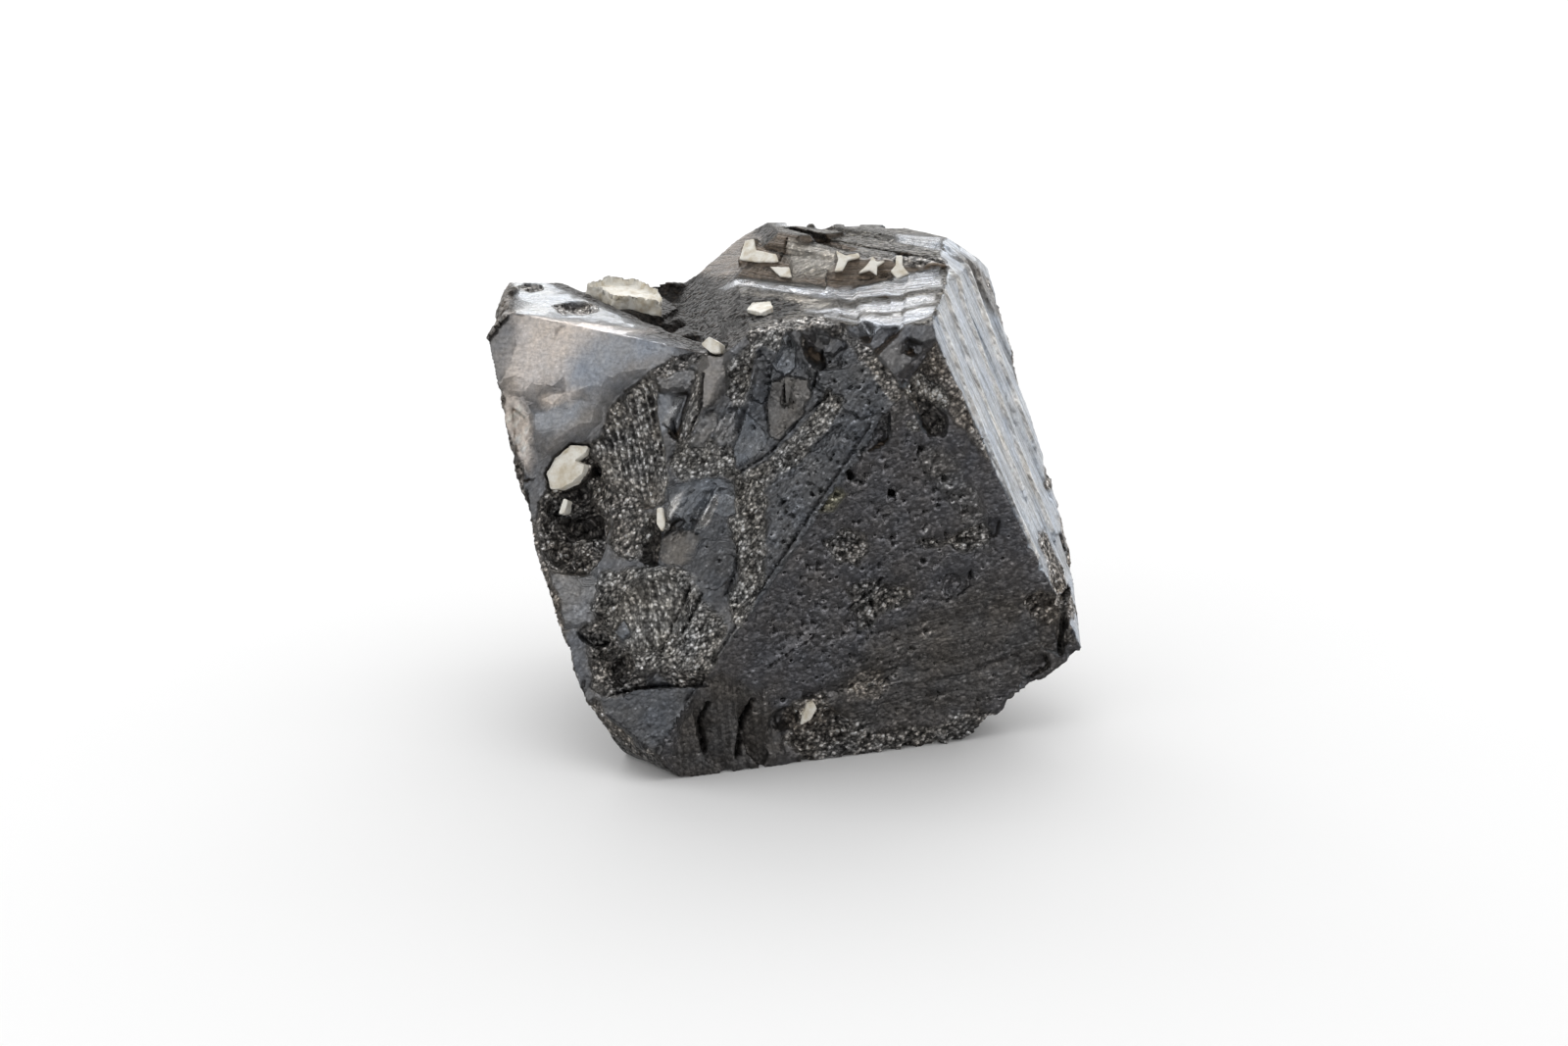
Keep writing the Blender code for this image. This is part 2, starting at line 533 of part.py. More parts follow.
def cut_shingles(collection):
    """Each shingle is a slab laid on a face and tilted about its length, so it bites along one side."""
    slab = 4.0
    for index, (face, across, up, heading, length, width, tilt, depth) in enumerate(SHINGLES):
        along, aside, out = face.axes(heading)
        lean = Matrix.Rotation(math.radians(tilt), 3, along)
        out_leaned = lean @ out
        aside_leaned = lean @ aside
        # the deep side of the slab sinks by the stated depth below the face
        deep_side = -1 if tilt > 0 else 1
        corner = face.at(across, up, -depth)
        middle = corner - aside_leaned * deep_side * width / 2 + out_leaned * slab / 2
        place = Matrix((along * length, aside_leaned * width, out_leaned * slab)).transposed()
        solid = bmesh.new()
        bmesh.ops.create_cube(solid, size=1.0, matrix=Matrix.Translation(middle) @ place.to_4x4())
        bmesh.ops.recalc_face_normals(solid, faces=solid.faces[:])
        add_cutter(solid, f"shingle_{index:02d}", collection)


def prism(face, corners, top):
    """A body over a polygon of the face, from each corner's own depth up to the height top."""
    solid = bmesh.new()
    floor = [solid.verts.new(face.at(across, up, -depth)) for across, up, depth in corners]
    roof = [solid.verts.new(face.at(across, up, top)) for across, up, depth in corners]
    solid.faces.new(floor)
    solid.faces.new(roof[::-1])
    for index in range(len(corners)):
        solid.faces.new((floor[index - 1], floor[index], roof[index], roof[index - 1]))
    bmesh.ops.triangulate(solid, faces=solid.faces[:], ngon_method="EAR_CLIP")
    bmesh.ops.recalc_face_normals(solid, faces=solid.faces[:])
    return solid


def cut_facets(collection):
    for name, (face, corners) in FACETS.items():
        add_cutter(prism(face, corners, 2.5), name, collection)


def inside_by(spot, outline):
    """How far the spot lies inside the outline, negative outside it."""
    nearest, inside = math.inf, False
    for index, end in enumerate(outline):
        start = outline[index - 1]
        run, rise = end[0] - start[0], end[1] - start[1]
        share = ((spot[0] - start[0]) * run + (spot[1] - start[1]) * rise) / (run * run + rise * rise)
        share = min(1.0, max(0.0, share))
        nearest = min(nearest, math.dist(spot, (start[0] + share * run, start[1] + share * rise)))
        if (start[1] > spot[1]) != (end[1] > spot[1]):
            inside ^= spot[0] < start[0] + run * (spot[1] - start[1]) / rise
    return nearest if inside else -nearest


def relief_height(kind, pitch, x, y, seed):
    """How far the floor of a hollow stands above its mean depth, as a share of that depth."""
    spot = Vector((x / pitch, y / pitch, seed))
    if kind == "grooved":
        wander = 0.35 * noise.noise(Vector((x / 4, y / 4, seed)))
        ridge = abs(((y / pitch + wander) % 1.0) - 0.5) * 2 - 0.5
        return 0.75 * ridge + 0.35 * noise.noise(spot)
    return 0.85 * (noise.cell(spot) - 0.5) + 0.5 * noise.noise(spot * 0.7)


def cut_hollows(collection):
    """Each hollow is a sheet with a crumbled or grooved relief, sunk inside its outline and then
    thickened outwards."""
    margin, rim_height = 1.0, 1.3
    for seed, (name, (face, heading, depth, kind, pitch, outline)) in enumerate(HOLLOWS.items()):
        along, aside, out = face.axes(heading)
        spots = [face.at(*corner) - face.point for corner in outline]
        lengths = [spot.dot(along) for spot in spots]
        widths = [spot.dot(aside) for spot in spots]
        length = max(lengths) - min(lengths) + 2 * margin
        width = max(widths) - min(widths) + 2 * margin
        middle = Vector(((max(lengths) + min(lengths)) / 2, (max(widths) + min(widths)) / 2))
        solid = bmesh.new()
        cells = round(length / pitch / 0.62), round(width / pitch / 0.5)
        bmesh.ops.create_grid(solid, x_segments=cells[0], y_segments=cells[1], size=1.0)
        for vert in solid.verts:
            x, y = middle.x + vert.co.x * length / 2, middle.y + vert.co.y * width / 2
            spot = face.point + along * x + aside * y
            flat = (spot - face.point).dot(face.across), (spot - face.point).dot(face.up)
            inside = inside_by(flat, outline) + 0.35 * noise.noise(Vector((x, y, seed * 3.1)))
            sunk = min(1.0, max(0.0, inside / RIM_BAND))
            raised = min(1.0, max(0.0, -inside / 0.3))
            height = -depth * sunk * (1.0 - relief_height(kind, pitch, x, y, seed)) + rim_height * raised
            vert.co = spot + out * height
        lifted = bmesh.ops.extrude_face_region(solid, geom=solid.faces[:])["geom"]
        tops = [part for part in lifted if isinstance(part, bmesh.types.BMVert)]
        bmesh.ops.translate(solid, verts=tops, vec=out * 5.0)
        if name in HOLLOW_BESIDE:
            split_off(solid, HOLLOW_BESIDE[name].point, -HOLLOW_BESIDE[name].normal)
        bmesh.ops.triangulate(solid, faces=solid.faces[:])
        bmesh.ops.recalc_face_normals(solid, faces=solid.faces[:])
        add_cutter(solid, name, collection)


def random_direction(dice):
    return Vector([dice.gauss(0, 1) for _ in range(3)]).normalized()


def cut_chips(collection, dice):
    """Small many-sided bites along the block's edges."""
    for edge, (start, end, count, size) in enumerate(CHIPPED_EDGES):
        for number in range(count):
            radius = size * dice.uniform(0.55, 1.15)
            share = (number + dice.uniform(0.1, 0.9)) / count
            spot = start.lerp(end, share)
            outwards = (spot - Vector((0, 0, 20))).normalized()
            middle = spot + outwards * radius * dice.uniform(0.25, 0.6)
            middle += random_direction(dice) * 0.3 * radius
            faces = []
            for _ in range(6):
                way = random_direction(dice)
                faces.append((middle + way * radius * dice.uniform(0.55, 0.95), way))
            add_cutter(cleaved(faces, middle, radius), f"chip_{edge:02d}_{number:02d}", collection)


def cut_pits(collection, dice):
    """Three-sided pits, all turned the same way, as the crystal's symmetry makes them."""
    low_across, high_across, low_up, high_up = PIT_FIELD
    pits = list(LARGE_PITS)
    for _ in range(SCATTERED_PITS):
        spot = dice.uniform(low_across, high_across), dice.uniform(low_up, high_up)
        pits.append((*spot, dice.uniform(*PIT_RADII)))
    for number, (across, up, radius) in enumerate(pits):
        along, aside, out = RIGHT_FRONT.axes(dice.uniform(-12, 12) - 90)
        turn = Matrix((along, aside, out)).transposed().to_4x4()
        solid = bmesh.new()
        depth = radius * PIT_SLOPE * 2
        bmesh.ops.create_cone(
            solid,
            segments=3,
            cap_ends=True,
            radius1=0,
            radius2=2 * radius,
            depth=2 * depth,
            matrix=Matrix.Translation(RIGHT_FRONT.at(across, up)) @ turn,
        )
        bmesh.ops.remove_doubles(solid, verts=solid.verts[:], dist=1e-4)
        bmesh.ops.recalc_face_normals(solid, faces=solid.faces[:])
        add_cutter(solid, f"pit_{number:02d}", collection)


def grown(outline, gap):
    """The outline with each side moved outwards by the gap. Its corners run anticlockwise."""
    corners = [Vector(corner) for corner in outline]
    moved = []
    for index, corner in enumerate(corners):
        before = (corner - corners[index - 1]).normalized()
        after = (corners[(index + 1) % len(corners)] - corner).normalized()
        outwards = Vector((before.y + after.y, -before.x - after.x))
        outwards.normalize()
        reach = gap / max(0.5, outwards.dot(Vector((before.y, -before.x))))
        moved.append(corner + outwards * reach)
    return moved


def build_grains(seats, material):
    grains = []
    for name, (face, proud, depth, outline) in GRAINS.items():
        body = prism(face, [(*corner, depth) for corner in outline], proud)
        grains.append(object_from(body, name, bpy.context.scene.collection, material))
        seat = prism(face, [(*corner, depth + SEAT_GAP) for corner in grown(outline, SEAT_GAP)], 3.0)
        add_cutter(seat, name + "_seat", seats)
    return grains


def subtract(block, collection, solver):
    cut = block.modifiers.new(collection.name, "BOOLEAN")
    cut.operation = "DIFFERENCE"
    cut.solver = solver
    cut.operand_type = "COLLECTION"
    cut.collection = collection


def new_collection(name):
    made = bpy.data.collections.new(name)
    bpy.context.scene.collection.children.link(made)
    return made


def centre_on_base(objects):
    """Moves everything so that the origin is the middle of the bounding box's underside."""
    bpy.context.view_layer.update()
    graph = bpy.context.evaluated_depsgraph_get()
    corners = []
    for item in objects:
        seen = item.evaluated_get(graph)
        corners += [seen.matrix_world @ Vector(corner) for corner in seen.bound_box]
    low = Vector([min(corner[axis] for corner in corners) for axis in range(3)])
    high = Vector([max(corner[axis] for corner in corners) for axis in range(3)])
    frame = bpy.data.objects.new("specimen_frame", None)
    bpy.context.scene.collection.objects.link(frame)
    for item in list(bpy.data.objects):
        if item is not frame:
            item.parent = frame
    frame.location = (-(low.x + high.x) / 2, -(low.y + high.y) / 2, -low.z)


def main():
    clear_scene()
    dice = random.Random(SEED)
    sulphide = finish_material("alabandite", (0.035, 0.034, 0.036), 0.38, 0.35)
    calcite = finish_material("calcite", (0.78, 0.74, 0.66), 0.6, 0.0)
    stock = cleaved([(face.point, face.normal) for face in OUTER_FACES])
    block = object_from(stock, "alabandite_block", bpy.context.scene.collection, sulphide)
    steps, broken, seats = new_collection("steps"), new_collection("broken"), new_collection("seats")
    cut_steps(steps)
    cut_shingles(steps)
    cut_facets(broken)
    cut_hollows(broken)
    cut_chips(broken, dice)
    cut_pits(broken, dice)
    grains = build_grains(seats, calcite)
    subtract(block, steps, "EXACT")
    subtract(block, broken, "EXACT")
    subtract(block, seats, "MANIFOLD")  # the exact solver leaves torn edges round these seats
    centre_on_base([block, *grains])


main()
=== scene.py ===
"""Looks of a loose alabandite specimen: its relief, its finish, the studio round it.

The block's solid is remeshed finely, and the relief of each of its faces is then worked into it: crumbs,
grooves, ledges, cracks and etched pits, each inside its own outline. Lengths are in millimetres and
angles in degrees. A spot on a face is (across, up) from the face's own corner, seen from outside.
"""

import math

import bmesh
import bpy
import numpy as np
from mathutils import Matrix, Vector


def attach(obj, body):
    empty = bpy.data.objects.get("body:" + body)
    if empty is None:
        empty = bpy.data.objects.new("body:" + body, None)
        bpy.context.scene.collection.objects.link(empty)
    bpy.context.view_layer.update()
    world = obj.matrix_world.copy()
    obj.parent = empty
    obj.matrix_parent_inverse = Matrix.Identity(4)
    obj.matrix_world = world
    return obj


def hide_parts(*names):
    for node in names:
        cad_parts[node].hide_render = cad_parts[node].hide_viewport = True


bl_info = {
    "name": "Alabandite Specimen",
    "version": (1, 0, 0),
    "blender": (4, 5, 0),
    "location": "View3D > Sidebar > Specimen",
    "description": "Dresses a cleaved alabandite block and its calcite grains",
    "category": "Object",
}

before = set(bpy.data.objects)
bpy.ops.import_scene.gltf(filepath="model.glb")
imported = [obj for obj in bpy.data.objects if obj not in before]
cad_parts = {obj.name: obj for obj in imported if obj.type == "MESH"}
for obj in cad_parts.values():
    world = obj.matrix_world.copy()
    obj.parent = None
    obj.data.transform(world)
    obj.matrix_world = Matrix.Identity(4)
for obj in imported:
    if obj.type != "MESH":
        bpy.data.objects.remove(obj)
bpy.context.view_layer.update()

MM = 0.001
BLOCK = "alabandite_block"
BLOCK_TRIANGLES = 196000
GRAIN_TRIANGLES = 8000
# The corners below are given from the point that the block was laid out from.
LAYOUT_ORIGIN = np.array((-0.034, -1.684, 0.0))


# ---------------------------------------------------------------- shapes of the faces


def direction(azimuth, elevation):
    """A unit vector. An azimuth of 0 looks along -Y, 90 along +X."""
    a, e = math.radians(azimuth), math.radians(elevation)
    return np.array((math.sin(a) * math.cos(e), -math.cos(a) * math.cos(e), math.sin(e)))


class Face:
    """A flat face of the block, by a corner of it and the way it looks."""

    def __init__(self, point, azimuth, elevation):
        self.point = np.array(point, float)
        self.normal = direction(azimuth, elevation)
        across = np.cross((0, 0, 1), self.normal)
        self.across = across / np.linalg.norm(across)
        self.up = np.cross(self.normal, self.across)

    def local(self, points):
        """The spots of points on the face, and how far out from it they are."""
        away = points - self.point
        return np.stack((away @ self.across, away @ self.up), -1), away @ self.normal


FRONT_FOOT = (-10.0, -18.3, 0.0)
RIDGE_FOOT = (-11.9, -19.2, 3.15)
RIDGE_HEAD = (13.4, -12.6, 41.7)
LEFT_SHOULDER = (-25.1, 4.2, 38.5)
NOTCH = (-5.9, -5.1, 36.9)
RISER_FOOT = (6.0, 2.4, 41.5)

LEFT = Face(RIDGE_FOOT, -23.9, 24.4)
RIGHT_FRONT = Face(FRONT_FOOT, 19.8, -3.5)
RIGHT = Face(RIDGE_HEAD, 78.8, 21.3)
FAR_LEFT = Face((-20.4, -15.7, 4.5), -99, -19.1)
FAR_LEFT_LOW = Face((-19.05, -13.75, 7.5), -99, -26.5)
SHOULDER_CUT = Face((-25.6, 4.2, 38.9), -88, 38.7)
PLATFORM = Face(LEFT_SHOULDER, 88, 85.5)
FLANK = Face(NOTCH, -80.6, 49.2)
TREAD = Face(RIDGE_HEAD, -68, 79.2)
RISER_LEFT = Face(RISER_FOOT, -46, 50)
RISER_RIGHT = Face(RISER_FOOT, -12, 58.8)
SHELF = Face((6, 8.0, 43.5), -60, 86)
CROWN = Face((6, 8, 44.4), 165, 86)
BACK = Face((0, 21.3, 30), 177, 5)
BACK_LEFT = Face((-19, 17.6, 38), -163, 3)
BACK_RIGHT = Face((20.6, 15.3, 37.4), 141, -7)
FOOT_UNDERCUT = Face(RIDGE_FOOT, -51, -33)
RIGHT_FAR = Face((26.2, 8.1, 19.7), 122, -5)
RIGHT_FAR_LOW = Face((27.5, 4.8, 14.4), 122, -36)
SHELF_BEVEL = Face((15.1, 5.5, 43.7), 83, 47)
LOST_CORNER = Face((15.4, 11.9, 44.2), 133.5, 55)


# ---------------------------------------------------------------- noise


def smooth(low, high, value):
    """A soft step from 0 at low to 1 at high."""
    share = np.clip((value - low) / (high - low), 0, 1)
    return share * share * (3 - 2 * share)


def scatter(cells, salt):
    """A number from 0 to 1 for each cell of a lattice, the same at each run."""
    low = 0xFFFFFFFF
    mixed = cells[..., 0] * 374761393 + cells[..., 1] * 668265263 + cells[..., 2] * 1103515245
    mixed = (mixed + salt * 1274126177) & low
    mixed = ((mixed ^ (mixed >> 13)) * 1274126177) & low
    mixed = ((mixed ^ (mixed >> 16)) * 668265263) & low
    return ((mixed >> 8) & 0xFFFF) / 0xFFFF


def waves(points, size, salt, octaves=1):
    """Smooth noise from -1 to 1 whose bumps are about size apart."""
    total, strength, weight = 0.0, 1.0, 0.0
    for octave in range(octaves):
        spots = points / size * 2**octave
        cells = np.floor(spots).astype(np.int64)
        share = spots - cells
        share = share * share * (3 - 2 * share)
        value = 0.0
        for corner in np.ndindex(2, 2, 2):
            side = np.array(corner)
            part = np.prod(np.where(side, share, 1 - share), axis=-1)
            value = value + part * scatter(cells + side, salt + octave)
        total = total + strength * (2 * value - 1)
        weight += strength
        strength *= 0.5
    return total / weight


def crumbs(points, size, salt):
    """Flat facets, each tilted its own way, from -1 to 1, as crushed crystal has."""
    spots = points / size
    cells = np.floor(spots).astype(np.int64)
    nearest = np.full(len(points), np.inf)
    height = np.zeros(len(points))
    for corner in np.ndindex(3, 3, 3):
        cell = cells + np.array(corner) - 1
        site = cell + np.stack([scatter(cell, salt + axis) for axis in range(3)], -1)
        away = spots - site
        distance = np.sum(away * away, -1)
        slope = np.stack([scatter(cell, salt + 3 + axis) for axis in range(3)], -1) - 0.5
        facet = 1.6 * np.sum(away * slope, -1) + 0.9 * (scatter(cell, salt + 6) - 0.5)
        closer = distance < nearest
        nearest = np.where(closer, distance, nearest)
        height = np.where(closer, facet, height)
    return np.clip(height, -1, 1)


def grooves(across, along, pitch, salt):
    """Saw-toothed grooves from -1 to 1, broken up along their length."""
    flat = np.stack((across / pitch, along / (9 * pitch), np.zeros_like(across)), -1)
    wander = 0.55 * waves(flat, 2.3, salt) + 0.25 * waves(flat * (1, 6, 1), 1.4, salt + 1)
    turn = across / pitch + wander
    tooth = turn - np.floor(turn)
    profile = np.where(tooth < 0.7, tooth / 0.7, (1 - tooth) / 0.3) * 2 - 1
    row = np.stack((np.floor(turn), along / (4 * pitch), np.full_like(across, salt)), -1)
    return profile * (0.65 + 0.35 * waves(row, 1.0, salt + 2))


def relief_shape(kind, points, across, along, pitch, salt):
    """The shape of one kind of relief, from -1 to 1."""
    if kind == "crumbs":
        coarse = crumbs(points, 2.1 * pitch, 7 * salt + 3)
        return 0.65 * crumbs(points, pitch, 7 * salt) + 0.45 * coarse
    drawn = np.stack((across, 0.42 * along, np.zeros_like(across)), -1)
    if kind == "slabs":
        return 0.7 * crumbs(drawn, pitch, 7 * salt) + 0.35 * crumbs(points, 0.6 * pitch, 7 * salt + 3)
    if kind == "grooves":
        return 0.8 * grooves(across, along, pitch, 11 * salt) + 0.25 * crumbs(drawn, pitch, 7 * salt + 5)
    if kind == "tilt":
        return np.clip((across - across.mean()) / pitch, -1.5, 1.5)
    return waves(points, pitch, 5 * salt, 2)


def inside_by(spots, outline):
    """How far each spot lies inside the outline, negative outside it."""
    nearest = np.full(len(spots), np.inf)
    inside = np.zeros(len(spots), bool)
    for start, end in zip(outline[-1:] + outline[:-1], outline):
        start, end = np.array(start), np.array(end)
        run = end - start
        away = spots - start
        share = np.clip(away @ run / (run @ run), 0, 1)
        nearest = np.minimum(nearest, np.linalg.norm(away - share[:, None] * run, axis=1))
        crosses = (start[1] > spots[:, 1]) != (end[1] > spots[:, 1])
        rise = run[1] if run[1] else 1e-9
        inside ^= crosses & (spots[:, 0] < start[0] + run[0] * (spots[:, 1] - start[1]) / rise)
    return np.where(inside, nearest, -nearest)


def beside(spots, line):
    """(distance, side) of each spot from an open line; side is +1 on the left of its run."""
    nearest = np.full(len(spots), np.inf)
    side = np.zeros(len(spots))
    for start, end in zip(line[:-1], line[1:]):
        start, end = np.array(start), np.array(end)
        run = end - start
        away = spots - start
        share = np.clip(away @ run / (run @ run), 0, 1)
        distance = np.linalg.norm(away - share[:, None] * run, axis=1)
        turned = run[0] * away[:, 1] - run[1] * away[:, 0]
        closer = distance < nearest
        nearest = np.where(closer, distance, nearest)
        side = np.where(closer, np.sign(turned), side)
    return nearest, side


def linear(value):
    """An sRGB hex colour as linear red, green and blue."""
    parts = [int(value[index : index + 2], 16) / 255 for index in (1, 3, 5)]
    return [p / 12.92 if p <= 0.04045 else ((p + 0.055) / 1.055) ** 2.4 for p in parts]


# ---------------------------------------------------------------- finishes

# Each finish of the sulphide: (reflecting colour, roughness, crumb, groove, etched pits). The last three say
# how strongly it is crushed, grooved and pitted, from 0 to 1.
FINISHES = {
    "cleaved": ("#828386", 0.30, 0.16, 0.08, 0.35),
    "warm_sheen": ("#e8dfd8", 0.34, 0.06, 0.06, 0.05),
    "blue_sheen": ("#a8adb5", 0.30, 0.04, 0.05, 0.04),
    "slate_sheen": ("#84888e", 0.27, 0.18, 0.06, 0.40),
    "brown_film": ("#9f9d9c", 0.34, 0.06, 0.06, 0.02),
    "grey_facet": ("#9c9c9d", 0.28, 0.18, 0.06, 0.30),
    "brown_facet": ("#83817f", 0.32, 0.16, 0.06, 0.40),
    "blue_facet": ("#6e7074", 0.28, 0.24, 0.06, 0.60),
    "dark_blue": ("#717377", 0.30, 0.36, 0.08, 0.8),
    # painted highlight: a strip far brighter than the cleavage, standing in for light caught along narrow
    # facets
    "painted_highlight_strip": ("#d8dadd", 0.22, 0.15, 0.20, 0.0),
    "crumbled": ("#bebcb9", 0.26, 0.95, 0.15, 0.0),
    "bright_crumbled": ("#c9c7c4", 0.24, 1.0, 0.15, 0.0),
    # painted glints: a near-white colour standing in for the glints of a crumbly chunk
    "glinting": ("#ebe7e1", 0.24, 1.0, 0.10, 0.0),
    "dark_crumbled": ("#b9b5b1", 0.28, 1.0, 0.15, 0.0),
    "grooved": ("#c6c3bf", 0.28, 0.85, 0.60, 0.0),
    "grey_grooved": ("#b4b2ae", 0.28, 0.70, 0.50, 0.0),
    "etched": ("#88878a", 0.34, 0.24, 0.03, 1.0),
    "etched_speckled": ("#8f8e8f", 0.30, 0.60, 0.05, 1.0),
    "etched_brown": ("#7d7a78", 0.36, 0.32, 0.25, 0.5),
    "olive": ("#a09d8c", 0.34, 0.60, 0.10, 0.5),
    "pale_streaked": ("#c1c7cf", 0.32, 0.06, 0.55, 0.0),
    "brown_crumbled": ("#b5aea7", 0.30, 0.85, 0.15, 0.0),
    "bright_top": ("#c2c5ca", 0.22, 0.06, 0.55, 0.0),
    "bright_shelf": ("#8f9296", 0.24, 0.08, 0.65, 0.0),
    "bright_platform": ("#999da1", 0.22, 0.06, 0.20, 0.0),
    "dark_valley": ("#2b2622", 0.52, 0.65, 0.55, 0.0),
    "rough_top": ("#5b5750", 0.46, 0.60, 0.75, 0.0),
    "brown_riser": ("#62574c", 0.30, 0.12, 0.80, 0.0),
    "grey_riser": ("#a29c92", 0.34, 0.30, 0.60, 0.0),
    "black_hollow": ("#827e7a", 0.36, 0.95, 0.1, 0.0),
    "valley_wall": ("#28221d", 0.50, 0.40, 0.60, 0.0),
    "striped_cut": ("#5a544e", 0.30, 0.25, 1.0, 0.0),
    "broken": ("#5f5c59", 0.34, 0.45, 0.35, 0.1),
}

# The finish of each whole face: (face, finish, heading of its grooves, height of its waves, their size).
FACE_FINISHES = [
    (LEFT, "cleaved", 57, 0.05, 5.0),
    (RIGHT_FRONT, "etched", 8, 0.05, 6.0),
    (RIGHT, "pale_streaked", -76, 0.06, 3.0),
    (PLATFORM, "dark_valley", 40, 0.05, 3.0),
    (FLANK, "valley_wall", 24, 0.12, 2.0),
    (TREAD, "rough_top", 40, 0.05, 3.0),
    (RISER_LEFT, "brown_riser", 4, 0.04, 2.0),
    (RISER_RIGHT, "brown_riser", 6, 0.04, 2.0),
    (SHELF, "rough_top", 21, 0.08, 3.0),
    (CROWN, "rough_top", 12, 0.08, 3.0),
    (SHELF_BEVEL, "pale_streaked", -60, 0.06, 3.0),
    (LOST_CORNER, "broken", 20, 0.12, 3.0),
    (FAR_LEFT, "broken", 80, 0.20, 4.0),
    (FAR_LEFT_LOW, "broken", 80, 0.20, 4.0),
    (SHOULDER_CUT, "striped_cut", -34, 0.05, 3.0),
    (BACK, "broken", 68, 0.20, 5.0),
    (BACK_LEFT, "broken", 74, 0.20, 5.0),
    (BACK_RIGHT, "broken", 96, 0.20, 5.0),
    (FOOT_UNDERCUT, "black_hollow", 20, 0.10, 2.0),
    (RIGHT_FAR, "broken", 30, 0.15, 2.0),
    (RIGHT_FAR_LOW, "broken", 30, 0.15, 2.0),
]

